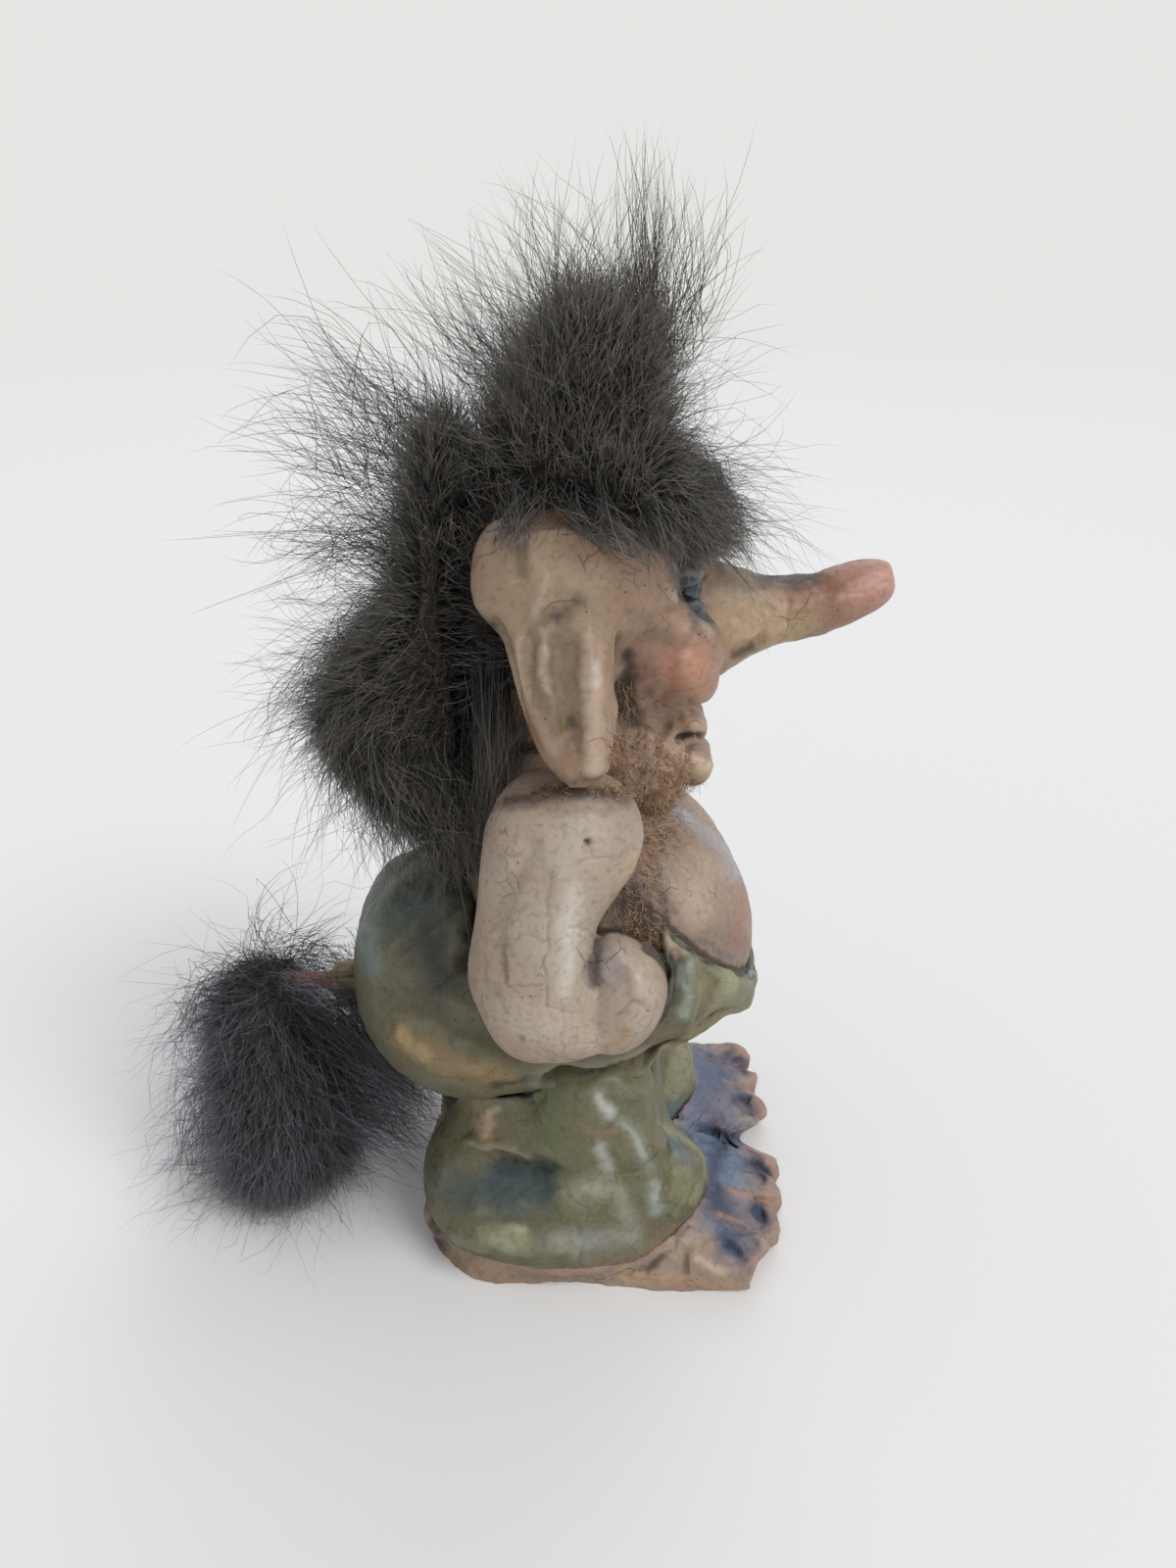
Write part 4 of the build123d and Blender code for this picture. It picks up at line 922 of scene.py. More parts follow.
footSkin = {
    "nodes": ["feet_base"], "neighbours": ["right_trouser_leg", "left_trouser_leg"],
    "pads": [("hem's bed", (-5.6, 12.3, 3.4), (22.0, 12.6, 4.4))],
    "mirror": False,
    "trim": [
        *[("between the feet", "all", 23, (-1.9, 0, 0), [(x, 1161), (830, 1161)])
          for x in (786, 770, 752)],
        ("far toe", "all", 26, (2.0, 0, 0), [(750, 1064), (772, 1086)]),
        ("near corner", "all", 24, (-2.6, 0, 0), [(792, 1292), (786, 1310)]),
    ],
    "voxel": 0.4, "smooth": 5, "lumps": {"footLumps": (5, 1.1), "footGrain": (1.5, 0.3)},
    "slot": "painted_feet", "finish": feetFinish, "seam": (0.0, 0.9), "base": "#a3907c",
    "carve": [
        ("between the feet", "all", 14, -0.8, [(764, 1162)]),
        ("nail", "all", 8, -0.7, [(748, 1084), (760, 1094)]),
        ("nail", "all", 8, -0.6, [(760, 1120), (764, 1132)]),
        ("nail", "all", 8, -0.7, [(768, 1186), (778, 1198)]),
        ("nail", "all", 8, -0.7, [(774, 1232), (780, 1246)]),
        ("nail", "all", 8, -0.5, [(728, 1057)]),
        ("nail", "all", 9, -0.5, [(742, 1270), (752, 1280)]),
        ("blotch", "all", 9, -0.5, [(730, 1156), (744, 1168)]),
        ("blotch", "all", 8, -0.5, [(728, 1204), (724, 1216)]),
        ("instep line", "all", 4, -0.5, [(689, 1139), (707, 1151), (722, 1155)]),
        ("foot gap", "all", 6, -1.2, [(772, 1162), (740, 1158), (712, 1152)]),
        ("ridge", "all", 7, 0.6, [(742, 1215), (768, 1222), (790, 1218)]),
        ("ridge", "all", 6, 0.5, [(738, 1106), (770, 1108)]),
        ("ridge", "all", 6, 0.5, [(732, 1240), (760, 1254), (780, 1262)]),
        ("heel hollow", "all", 12, -0.5, [(452, 1272), (470, 1292)]),
    ],
    "paint": [
        ("blue wash", "all", 62, "#627a9a", 0.95, [(712, 1110), (735, 1190)]),
        ("blue wash", "all", 44, "#586784", 0.9, [(735, 1240), (750, 1262)]),
        ("blue haze", "all", 24, "#5b6e86", 0.7, [(700, 1095), (715, 1130)]),
        ("mauve", "all", 30, "#77686e", 0.7, [(732, 1095), (725, 1130)]),
        ("deep blue", "all", 17, "#38465c", 0.9, [(738, 1163), (722, 1200), (735, 1240)]),
        ("nail", "all", 13, "#232a3e", 1.0, [(746, 1078), (764, 1088)]),
        ("nail", "all", 14, "#303850", 1.0, [(754, 1122), (770, 1130)]),
        ("nail", "all", 13, "#222e46", 1.0, [(764, 1186), (780, 1198)]),
        ("nail", "all", 15, "#263852", 1.0, [(772, 1236), (784, 1248)]),
        ("nail", "all", 9, "#2a2f3e", 0.9, [(726, 1054), (738, 1054)]),
        ("nail", "all", 16, "#303f60", 1.0, [(734, 1264), (760, 1284)]),
        ("blotch", "all", 15, "#35445e", 0.9, [(732, 1150), (748, 1162)]),
        ("toe rim", "all", 6, "#9c7b74", 0.9, [(745, 1062), (775, 1085), (779, 1106)]),
        ("toe rim", "all", 6, "#a07f74", 0.9, [(744, 1106), (770, 1108), (781, 1130)]),
        ("toe rim", "all", 6, "#a07c72", 0.9, [(764, 1172), (794, 1192), (799, 1212)]),
        ("toe rim", "all", 7, "#a88070", 0.9, [(742, 1215), (768, 1222), (796, 1232), (799, 1256)]),
        ("toe rim", "all", 6, "#aa8878", 0.9, [(775, 1282), (760, 1298)]),
        ("ochre skin", "all", 9, "#957a66", 0.7, [(732, 1240), (760, 1254)]),
        ("pale instep", "all", 15, "#b09a80", 0.8, [(700, 1272), (725, 1268)]),
        ("brown spot", "all", 8, "#54443c", 0.8, [(662, 1294), (672, 1284)]),
        ("slab side", "all", 15, "#bda080", 0.9, [(640, 1302), (700, 1308), (755, 1318)]),
        ("slab edge", "all", 7, "#d6bfa2", 0.8, [(712, 1284), (740, 1300)]),
        ("slab back", "all", 16, "#9c866c", 0.8, [(455, 1280), (500, 1304), (560, 1304)]),
        # Painted shadow at the heel
        ("heel", "all", 14, "#544640", 0.8, [(440, 1250), (452, 1272)]),
        ("far foot", "all", 34, "#536580", 0.8, [(706, 1085), (730, 1100)]),
    ],
    "grime": [
        # Painted shade under the hem and at the heel
        ("under the hem", "all", 9, 0.6, [(640, 1300), (680, 1280), (705, 1252)]),
        ("foot gap", "all", 6, 0.7, [(768, 1162), (740, 1158)]),
        ("heel", "all", 14, 0.6, [(438, 1256), (452, 1276)]),
    ],
}


def photoPlane(places, level):
    # World points that the photograph shows at places, on planes of constant Y
    cosine, sine = math.cos(photo["tilt"]), math.sin(photo["tilt"])
    across = (places[:, 0] - photo["wide"] / 2) / photo["focalPx"]
    up = (photo["high"] / 2 - places[:, 1]) / photo["focalPx"]
    run = np.stack([across, cosine + up * sine, up * cosine - sine], axis=1)
    reach = (level - photo["eye"][1]) / run[:, 1]
    return np.array(photo["eye"]) + run * reach[:, None]


def unit(vectors):
    return vectors / np.maximum(np.linalg.norm(vectors, axis=-1, keepdims=True), 1e-12)


combReach = 14  # pixels, nearer than which a comb stroke pulls no harder
combStep = 10  # pixels along the comb that its direction is taken from


def combed(points, combs):
    # Which way the fur is combed at each point, from comb strokes drawn on the photograph
    places = photoPlaces(points)
    total = np.zeros_like(places)
    for line in combs:
        spots = np.array(line, float)
        for a, b in zip(spots, spots[1:]):
            run = b - a
            along = np.clip(((places - a) @ run) / (run @ run), 0, 1)
            gap = np.linalg.norm(places - a - along[:, None] * run, axis=1)
            total += unit(run) / (gap**2 + combReach**2)[:, None] ** 1.5
    level = -np.abs(points[:, 1])
    ahead = places + unit(total) * combStep
    return unit(photoPlane(ahead, level) - photoPlane(places, level))


def unitStrand(name, steps, sides):
    # One straight strand up Z from 0 to 1, with a ring of edges at each step
    bm = bmesh.new()
    bmesh.ops.create_cone(bm, cap_ends=True, segments=sides, radius1=1, radius2=0, depth=1)
    bmesh.ops.translate(bm, verts=bm.verts, vec=(0, 0, 0.5))
    for k in range(1, steps):
        parts = bm.verts[:] + bm.edges[:] + bm.faces[:]
        cut = {"plane_co": (0, 0, k / steps), "plane_no": (0, 0, 1), "dist": 1e-6}
        bmesh.ops.bisect_plane(bm, geom=parts, **cut)
    layer = bm.loops.layers.uv.new("OFBake")
    for face in bm.faces:
        middle = face.calc_center_median()
        for loop in face.loops:
            x, y, z = loop.vert.co
            turn = math.atan2(y, x) - math.atan2(middle.y, middle.x) if z < 1 else 0
            turn = (turn + math.pi) % math.tau - math.pi
            cap = abs(face.normal.z) > 0.99
            loop[layer].uv = (0.5 + x / 4, 0.03 + y / 50) if cap else (0.5 + turn / math.tau, z)
    return meshFrom(name, bm)


strandSides = 3
strandTaper = 0.65  # how much of its radius a strand loses by its tip
offFloor = 0.05 * mm
mapEdge, mapSpread, strandColumn = 0.03, 0.94, 0.05  # shares of the map's width


def strands(name, paths, radius, tones, finish, body):
    # Every strand is the same unit strand, repeated and then bent along its own path
    count, steps = len(paths), paths.shape[1] - 1
    base = unitStrand(name, steps, strandSides)
    rest = meshPoints(base)
    piece = pieceObject(name, base)
    repeat = piece.modifiers.new("repeat", "ARRAY")
    repeat.count = count
    repeat.use_relative_offset = False
    mesh = finished(piece)
    ring = np.rint(rest[:, 2] * steps).astype(int)
    turned = rest[:, :2] / np.maximum(1 - rest[:, 2:3], 1e-9) * (rest[:, 2:3] < 0.999)
    run = unit(np.gradient(paths, axis=1))
    aside = np.roll(run[:, :1], 1, axis=2) + np.array([0.3, 0.1, 0.5])
    across = unit(np.cross(run, aside))
    up = np.cross(run, across)
    thick = radius * (1 - strandTaper * rest[:, 2])
    points = paths[:, ring]
    points = points + across[:, ring] * (turned[:, 0] * thick)[:, None]
    points = points + up[:, ring] * (turned[:, 1] * thick)[:, None]
    points[..., 2] = np.maximum(points[..., 2], offFloor)
    setPoints(mesh, points.reshape(-1, 3))
    layer = mesh.uv_layers["OFBake"].uv
    spots = np.empty(len(layer) * 2, np.float32)
    layer.foreach_get("vector", spots)
    spots = spots.reshape(count, -1, 2)
    spots[..., 0] = mapEdge + mapSpread * tones[:, None] + (spots[..., 0] - 0.5) * strandColumn
    layer.foreach_set("vector", spots.ravel())
    mesh.polygons.foreach_set("use_smooth", [True] * len(mesh.polygons))
    mesh.materials.append(finish)
    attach(piece, body)


def furFinish(name, spec):
    # Tone runs across the map and the strand's length runs up it. Tips are lighter as painted light,
    # roots darker as painted shade, and the palest tones are painted glints.
    finish = Finish(name)
    where = finish.node("ShaderNodeTexCoord", {}, {}, "UV")
    split = finish.node("ShaderNodeSeparateXYZ", {}, {0: where}, "X")
    along = Wire(finish, split.socket.node.outputs["Y"])
    length = finish.node("ShaderNodeValToRGB", {"stops": spec["along"]}, {0: along})
    shade = finish.node("ShaderNodeValToRGB", {"stops": spec["across"]}, {0: split})
    finish.put(Base_Color=finish.mix(1.0, length, shade, "MULTIPLY"))
    finish.put(Roughness=0.5 - along * 0.12, Specular_IOR_Level=spec["gloss"])
    return finish.material


def furCore(name, spec, finish):
    # The matted pile that the strands stand on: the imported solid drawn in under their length
    piece = pieceObject(name, meshFrom(name, cadCopy(spec["nodes"])))
    steps = {
        "melt": ("REMESH", {"mode": "VOXEL", "voxel_size": 0.9 * mm}),
        "soften": ("SMOOTH", {"factor": 0.5, "iterations": 6}),
        "drawIn": ("DISPLACE", {"strength": -spec["drawnIn"] * mm, "mid_level": 0}),
        "remelt": ("REMESH", {"mode": "VOXEL", "voxel_size": 0.8 * mm, "use_smooth_shade": True}),
        "resoften": ("SMOOTH", {"factor": 0.5, "iterations": 10}),
    }
    for step, (kind, settings) in steps.items():
        modifier = piece.modifiers.new(step, kind)
        for key, value in settings.items():
            setattr(modifier, key, value)
    lumps(piece, name + "Lumps", 3.5, 1.4)
    mesh = finished(piece)
    points = meshPoints(mesh)
    trim(points, spec["coreTrim"], {"all": 1})
    setPoints(mesh, points)
    mesh.materials.append(finish)
    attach(piece, spec["body"])
    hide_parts(*spec["nodes"])
    return piece


def scattered(mesh, count, rng):
    # Points spread evenly over a mesh, with the surface's direction there
    mesh.calc_loop_triangles()
    corners = np.empty(len(mesh.loop_triangles) * 3, np.int32)
    mesh.loop_triangles.foreach_get("vertices", corners)
    corners = corners.reshape(-1, 3)
    points, normals = meshPoints(mesh), vertexNormals(mesh)
    a, b, c = (points[corners[:, k]] for k in range(3))
    area = np.linalg.norm(np.cross(b - a, c - a), axis=1)
    pick = rng.choice(len(corners), count, p=area / area.sum())
    share = rng.dirichlet((1, 1, 1), count)
    spots = (points[corners[pick]] * share[..., None]).sum(axis=1)
    return spots, unit((normals[corners[pick]] * share[..., None]).sum(axis=1))


spareRoots = 1.9  # spots tried for each root that is wanted


def openRoots(mesh, spec, blocks, rng):
    # Roots that don't face the skull or another solid
    reach = spec["blockedWithin"] * mm
    roots, normals = scattered(mesh, int(spec["count"] * spareRoots), rng)
    pairs = [(Vector(p), Vector(n)) for p, n in zip(roots, normals)]
    clear = np.flatnonzero([blocks.ray_cast(p, n, reach)[0] is None for p, n in pairs])
    clear = clear[:spec["count"]]
    return roots[clear], normals[clear]


def grow(roots, normals, spec, rng):
    # Each strand starts outward, then follows the comb, curls a little and hangs
    count, steps = len(roots), spec["steps"]
    length = rng.uniform(*spec["length"], count)[:, None] * mm
    stray = rng.normal(size=(count, 3)) * spec["stray"]
    at, path = roots, [roots]
    for k in range(steps):
        t = k / steps
        lift = spec["lift"] * (1 - t) + spec["lastLift"] * t
        kink = rng.normal(size=(count, 3)) * spec["kink"]
        way = normals * lift + combed(at, spec["combs"]) * (1 - lift) + stray * (0.4 + t) + kink
        way[:, 2] -= spec["hang"] * t
        at = at + unit(way) * length / steps
        path.append(at)
    return np.stack(path, axis=1)


def clumped(paths, spec, rng):
    # Neighbours draw together towards their tips
    guides = paths[:: spec["clump"]]
    tree = KDTree(len(guides))
    for i, guide in enumerate(guides):
        tree.insert(guide[0], i)
    tree.balance()
    nearest = [tree.find(path[0])[1] for path in paths]
    chosen = guides[nearest]
    t = np.linspace(0, 1, paths.shape[1])[None, :, None]
    pull = spec["gather"] * t**1.3 * rng.uniform(0.3, 1, (len(paths), 1, 1))
    return paths + (chosen - paths) * pull


deepestIn = 9 * mm  # how far from a solid's surface strands are looked for


def keptOut(paths, tree, gap):
    # Strand points that fell inside a solid come back to its surface
    for path in paths:
        for k in range(1, len(path)):
            spot, normal, _, _ = tree.find_nearest(Vector(path[k]), deepestIn)
            if spot is not None and (Vector(path[k]) - spot).dot(normal) < gap:
                path[k] = spot + normal * gap
    return paths


def thinned(paths, spec, rng):
    # Drops most strands that would hide what the photograph shows through the fur
    stays = np.ones(len(paths), bool)
    for spot, wide, share in spec["thin"]:
        gaps = np.stack([photoPlaces(paths[:, k]) for k in range(paths.shape[1])], axis=1) - spot
        over = (np.linalg.norm(gaps, axis=2) < wide).any(axis=1)
        stays &= ~over | (rng.random(len(paths)) < share)
    return paths[stays]


pastBox = [(-9, -9, 0), (5, 9, 13)]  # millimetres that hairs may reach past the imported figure
furRoom = [np.array(corner) + np.array(past) * mm for corner, past in zip(cadBox, pastBox)]


def furPiece(name, spec, finishes, blocks=None):
    # A matted core, then layers of strands from its surface, or from a cloth backing's
    if spec["drawnIn"]:
        mesh = furCore(name + "Core", spec, finishes["core"]).data
    else:
        mesh = meshFrom(name, cadCopy(spec["nodes"]))
    blocks = blocks or treeFrom(cadCopy(spec["hiddenBy"]))
    solids = treeFrom(cadCopy(spec["clearOf"]))

    def add(label, paths, radius, rng):
        paths = np.clip(keptOut(paths, solids, spec["offSkin"] * mm), *furRoom)
        tones = np.clip(rng.normal(*spec["tones"], len(paths)), 0, 1)
        strands(name + label, paths, radius * mm, tones, finishes["strand"], spec["body"])

    for label, change in spec["layers"].items():
        layer = spec | change
        rng = np.random.default_rng(spec["seed"] + len(label))
        roots, normals = openRoots(mesh, layer, blocks, rng)
        paths = clumped(grow(roots, normals, layer, rng), layer, rng)
        if label == "Flyaways":
            wisps = [photoPlane(np.array(line, float), y * mm) for y, line in spec["wisps"]]
            paths = np.concatenate([paths, np.stack([bezier(w, layer["steps"]) for w in wisps])])
        add(label, thinned(paths, layer, rng), layer["radius"], rng)
    if spec["locks"]:
        rng = np.random.default_rng(spec["seed"] + 99)
        paths = np.concatenate([lock(row, spec["lockSteps"], rng) for row in spec["locks"]])
        add("Locks", paths, spec["lockRadius"], rng)
    print(name, "grown")
    return mesh


lockStarts, lockEnds = (0, 0.35), (0.7, 1.15)  # shares of the line where strands start and end
lockDepth, lockTipDepth = 1.2, 2.5  # millimetres strewn across the fur, and what the tips add


def lock(row, steps, rng):
    # Strands strewn about a line in the photograph, every other one on the far side
    _, count, level, rootWide, tipWide, line = row
    spots = np.array(line, float)
    reach = np.cumsum([0, *np.linalg.norm(np.diff(spots, axis=0), axis=1)])
    reach /= reach[-1]
    first = rng.uniform(*lockStarts, (count, 1))
    at = first + (rng.uniform(*lockEnds, (count, 1)) - first) * np.linspace(0, 1, steps + 1)
    t = np.linspace(0, 1, steps + 1)[None, :, None]
    places = np.stack([np.interp(at, reach, spots[:, k]) for k in (0, 1)], axis=2)
    places += (spots[-1] - spots[-2]) * np.maximum(at - 1, 0)[..., None]
    places += rng.normal(size=(count, 1, 2)) * rootWide * (1 - t)
    places += rng.normal(size=(count, 1, 2)) * tipWide * t
    places += rng.normal(size=(count, 1, 2)) * tipWide * 0.5 * np.sin(t * math.pi)
    levels = level + rng.normal(size=(count, 1)) * (lockDepth + lockTipDepth * t[..., 0])
    paths = photoPlane(places.reshape(-1, 2), levels.ravel() * mm).reshape(count, steps + 1, 3)
    paths[::2, :, 1] *= -1
    return paths


def bezier(points, steps):
    t = np.linspace(0, 1, steps + 1)[:, None]
    return (1 - t) ** 2 * points[0] + 2 * t * (1 - t) * points[1] + t**2 * points[2]


headSolids = ["head", "nose", "right_ear", "left_ear", "right_arm", "left_arm", "torso"]
# Lengths, radii and what is drawn in or kept off are millimetres. A core's trim rows read as a
# skin's do. A thin row is a spot, its radius in pixels and the share of the strands that stays.
# A wisp is how many millimetres off the middle it stands and its line. A lock is a note, a count
# of strands, millimetres off the middle, pixels strewn at root and tip, and a line.
crownFur = {
    "nodes": ["hair_crown"], "body": "root", "seed": 11, "drawnIn": 3.6,
    "hiddenBy": ["head", "scalp_backing", "hair_back", "right_ear", "left_ear"], "blockedWithin": 3,
    "clearOf": headSolids, "offSkin": 0.15, "lift": 0.35, "lastLift": 0.08, "hang": 0.04,
    "lockSteps": 5, "lockRadius": 0.05, "tones": (0.5, 0.24),  # mean and spread
    "layers": {
        "Under": {"count": 9000, "steps": 2, "length": (3.5, 7.5), "radius": 0.065, "stray": 0.45,
                  "kink": 0.22, "clump": 14, "gather": 0.25},
        "Over": {"count": 5200, "steps": 4, "length": (5, 11.5), "radius": 0.05, "stray": 0.72,
                 "kink": 0.33, "clump": 9, "gather": 0.28},
        "Flyaways": {"count": 1200, "steps": 5, "length": (11, 23), "radius": 0.038, "stray": 0.6,
                     "kink": 0.18, "clump": 3, "gather": 0.25, "lift": 0.5, "lastLift": 0.1},
    },
    "coreTrim": [
        ("over the temple", "all", 44, (-1.0, 4.0, 4.5), [(640, 560), (690, 572)]),
        ("top", "all", 124, (0, 0, -12.5), [(630, 150), (645, 235)]),
        ("left of the top", "all", 56, (4.0, 0, -2.5), [(545, 270), (535, 330)]),
        ("front", "all", 74, (-6.0, 0, 0), [(732, 290), (725, 430)]),
        ("brow", "all", 56, (-5.0, 0, 1.0), [(775, 480), (775, 560)]),
        ("brow's top", "all", 50, (-4.5, 0, 0), [(742, 446), (748, 500)]),
        ("back", "all", 70, (4.5, 0, -2.0), [(500, 320), (475, 400)]),
    ],
    "thin": [((706, 600), 26, 0.06), ((735, 610), 30, 0.12), ((690, 640), 34, 0.05)],
    "combs": [
        [(560, 520), (545, 430), (520, 330)], [(600, 520), (600, 420), (612, 300), (632, 240)],
        [(655, 480), (660, 400), (664, 320), (662, 240)], [(690, 400), (690, 330), (684, 270)],
        [(640, 540), (640, 480)], [(690, 480), (725, 520), (755, 575)],
        [(670, 520), (700, 550), (720, 595)], [(715, 480), (745, 510), (765, 550)],
        [(520, 500), (500, 430), (480, 370)], [(560, 540), (530, 520), (510, 480)],
    ],
    "wisps": [
        (0, [(650, 300), (662, 200), (657, 120)]), (-4, [(655, 290), (648, 210), (668, 150)]),
        (2, [(690, 290), (694, 220), (706, 165)]), (4, [(700, 290), (756, 210), (773, 116)]),
        (-3, [(640, 290), (560, 190), (480, 183)]), (3, [(600, 330), (500, 260), (404, 218)]),
        (-2, [(560, 360), (430, 300), (315, 317)]), (2, [(680, 330), (740, 262), (788, 252)]),
        (-8, [(680, 420), (716, 396), (744, 392)]), (-6, [(700, 470), (750, 478), (784, 453)]),
        (3, [(740, 470), (800, 480), (833, 533)]), (-4, [(700, 520), (752, 500), (779, 542)]),
        (-10, [(640, 280), (632, 230), (640, 180)]), (6, [(610, 300), (570, 230), (552, 205)]),
        (-9, [(690, 540), (730, 560), (775, 580)]), (-12, [(690, 560), (722, 590), (740, 690)]),
        (-12, [(680, 560), (705, 600), (712, 660)]), (-8, [(720, 540), (742, 590), (790, 740)]),
    ],
    "locks": [
        ("fringe", 560, -14, 13, 16, [(640, 500), (668, 545), (686, 590)]),
        ("fringe", 200, -12, 12, 16, [(670, 500), (700, 545), (716, 582)]),
        ("fringe", 160, -11, 10, 14, [(690, 500), (720, 545), (742, 575)]),
        ("temple", 320, -17, 12, 14, [(600, 510), (622, 540), (650, 566)]),
        ("over the ear", 260, -19, 14, 12, [(530, 505), (530, 530), (520, 560)]),
        ("over the ear", 160, -18, 14, 12, [(580, 505), (592, 530), (612, 552)]),
        ("crown's spike", 200, 0, 18, 16, [(640, 400), (654, 330), (654, 262)]),
        ("crown's tip", 70, 0, 16, 20, [(650, 370), (662, 260), (658, 150)]),
        ("crown's right", 50, 0, 12, 24, [(680, 370), (700, 280), (715, 200)]),
        ("crown's left", 70, 0, 24, 34, [(605, 390), (575, 300), (540, 225)]),
        ("crown's back", 80, -2, 22, 34, [(540, 410), (490, 350), (430, 285)]),
        ("brow", 120, -4, 10, 14, [(720, 480), (745, 530), (765, 570)]),
    ],
}
backFur = crownFur | {
    "nodes": ["hair_back"], "seed": 31,
    "layers": crownFur["layers"] | {"Over": crownFur["layers"]["Over"] | {"count": 5900}},
    "coreTrim": [
        ("outer side", "all", 120, (8.5, 0, 0), [(340, 400), (335, 520), (330, 615)]),
        ("top", "all", 90, (0, 0, -6.0), [(380, 385), (440, 385)]),
    ],
    "hiddenBy": ["head", "scalp_backing", "hair_crown", "right_ear", "left_ear", "torso"],
    "clearOf": headSolids + ["trouser_seat"],
    "combs": [
        [(470, 560), (450, 470), (430, 400)], [(420, 560), (385, 480), (350, 410)],
        [(400, 600), (360, 560), (320, 500)], [(480, 640), (440, 620), (390, 620), (350, 640)],
        [(480, 700), (430, 690), (370, 700), (325, 720)], [(470, 740), (420, 742), (360, 752)],
        [(380, 760), (410, 800), (450, 840), (480, 880)], [(340, 720), (352, 770), (395, 815)],
        [(490, 720), (500, 780), (494, 860)], [(440, 780), (465, 820), (480, 870)],
    ],
    "wisps": [
        (3, [(345, 400), (290, 300), (215, 272)]), (-3, [(400, 430), (300, 360), (224, 371)]),
        (0, [(430, 420), (340, 340), (253, 352)]), (4, [(330, 500), (260, 430), (183, 466)]),
        (-5, [(340, 540), (270, 490), (206, 522)]), (-2, [(318, 711), (240, 720), (175, 768)]),
        (2, [(318, 711), (262, 780), (231, 861)]), (-6, [(390, 470), (330, 420), (290, 400)]),
        (-10, [(335, 620), (290, 600), (246, 622)]), (5, [(330, 640), (285, 660), (262, 700)]),
        (-4, [(360, 780), (330, 830), (318, 880)]), (-8, [(400, 820), (380, 870), (352, 905)]),
    ],
    "locks": [
        ("behind the ear", 420, -13, 12, 10, [(500, 640), (500, 720), (500, 800), (492, 860)]),
        ("behind the ear", 260, -11, 12, 10, [(520, 700), (520, 760), (510, 800)]),
        ("nape", 420, -10, 16, 14, [(470, 760), (476, 830), (482, 900)]),
        ("upper back", 110, -3, 24, 38, [(440, 470), (380, 400), (310, 350)]),
        ("middle back", 120, -3, 26, 42, [(420, 570), (350, 545), (275, 560)]),
        ("middle back", 90, -3, 24, 38, [(410, 500), (340, 450), (270, 440)]),
        ("low back", 140, -4, 22, 36, [(400, 650), (335, 690), (290, 765)]),
        ("low back", 260, -5, 20, 24, [(400, 750), (390, 815), (420, 880)]),
    ],
}
# The short pile between the ear, the crown and the back, which stands on the cloth itself
scalpFur = crownFur | {
    "nodes": ["scalp_backing"], "seed": 71, "drawnIn": 0, "blockedWithin": 1.5, "locks": [],
    "combs": crownFur["combs"] + backFur["combs"],
    "layers": {"Under": {"count": 5400, "steps": 3, "length": (4, 8), "radius": 0.067,
                         "stray": 0.4, "kink": 0.2, "clump": 8, "gather": 0.25}},
}
tailFur = crownFur | {
    "nodes": ["tail_tuft"], "body": "tail", "seed": 51, "drawnIn": 3.4, "thin": [],
    "coreTrim": [
        ("left side", "all", 90, (2.0, 0, 0), [(215, 1050), (205, 1150)]),
        ("right side", "all", 84, (4.5, 0, 0), [(432, 1105), (428, 1170)]),
        ("top", "all", 70, (0, 0, -3.0), [(270, 960), (330, 955)]),
    ],
    "hiddenBy": ["tail_stalk"], "blockedWithin": 2, "hang": 0.12,
    "clearOf": ["trouser_seat", "right_trouser_leg", "left_trouser_leg", "feet_base"],
    "combs": [
        [(300, 1000), (250, 1040), (215, 1110), (205, 1190)],
        [(300, 1000), (285, 1080), (275, 1160), (270, 1240)],
        [(320, 1000), (345, 1080), (350, 1160), (340, 1225)],
        [(335, 1000), (385, 1060), (420, 1110), (445, 1150)],
    ],
    "wisps": [
        (0, [(300, 1010), (325, 950), (363, 925)]), (-6, [(250, 1020), (205, 965), (170, 935)]),
        (4, [(230, 1100), (160, 1070), (124, 1130)]), (-4, [(230, 1150), (150, 1150), (126, 1205)]),
        (0, [(220, 1180), (160, 1230), (130, 1240)]), (-8, [(300, 1210), (325, 1262), (352, 1240)]),
    ],
    "locks": [
        ("over the stalk", 200, -3, 10, 14, [(276, 1004), (300, 1004), (322, 1012)]),
        ("over the stalk", 120, -4, 10, 14, [(290, 1018), (312, 1018), (334, 1030)]),
        ("towards the leg", 700, -5, 20, 18, [(330, 1030), (385, 1080), (436, 1130)]),
        ("towards the leg", 700, -5, 24, 20, [(320, 1100), (380, 1135), (428, 1165)]),
        ("tuft's top", 60, -2, 18, 24, [(270, 1010), (262, 975), (290, 950)]),
        ("tuft's left", 150, -2, 20, 24, [(250, 1020), (214, 1030), (196, 1090)]),
        ("tuft's left", 150, -2, 20, 24, [(240, 1100), (212, 1150), (204, 1210)]),
        ("tuft's foot", 160, -3, 26, 22, [(270, 1180), (265, 1225), (280, 1255)]),
    ],
}
# Along a strand: painted shade at the root and painted light at the tip; across: the palest strands are
# painted glints
furShades = {
    "along": [(0.0, "#24221f"), (0.3, "#625e59"), (0.75, "#969289"), (1.0, "#c0bdb8")],
    "across": [(0.0, "#625e5b"), (0.5, "#b5b0ab"), (0.85, "#e2e2e2"), (1.0, "#f8fcff")],
    "gloss": 0.6,
}
# The tail's tips carry bluer painted glints
tailShades = furShades | {
    "along": [(0.0, "#26262a"), (0.3, "#6a6c73"), (0.75, "#9ca0aa"), (1.0, "#c6ccd6")],
}


def coreFinish(name):
    finish = Finish(name)
    where = finish.places()
    bent = finish.shifted(where, 3.0, 4.0)
    fibres = finish.noise(0.5, 4, bent)
    finish.put(Base_Color=finish.mix(fibres, tone("#191613"), tone("#4a433a")), Roughness=0.8)
    finish.put(Normal=finish.bump(fibres, 0.5))
    return finish.material


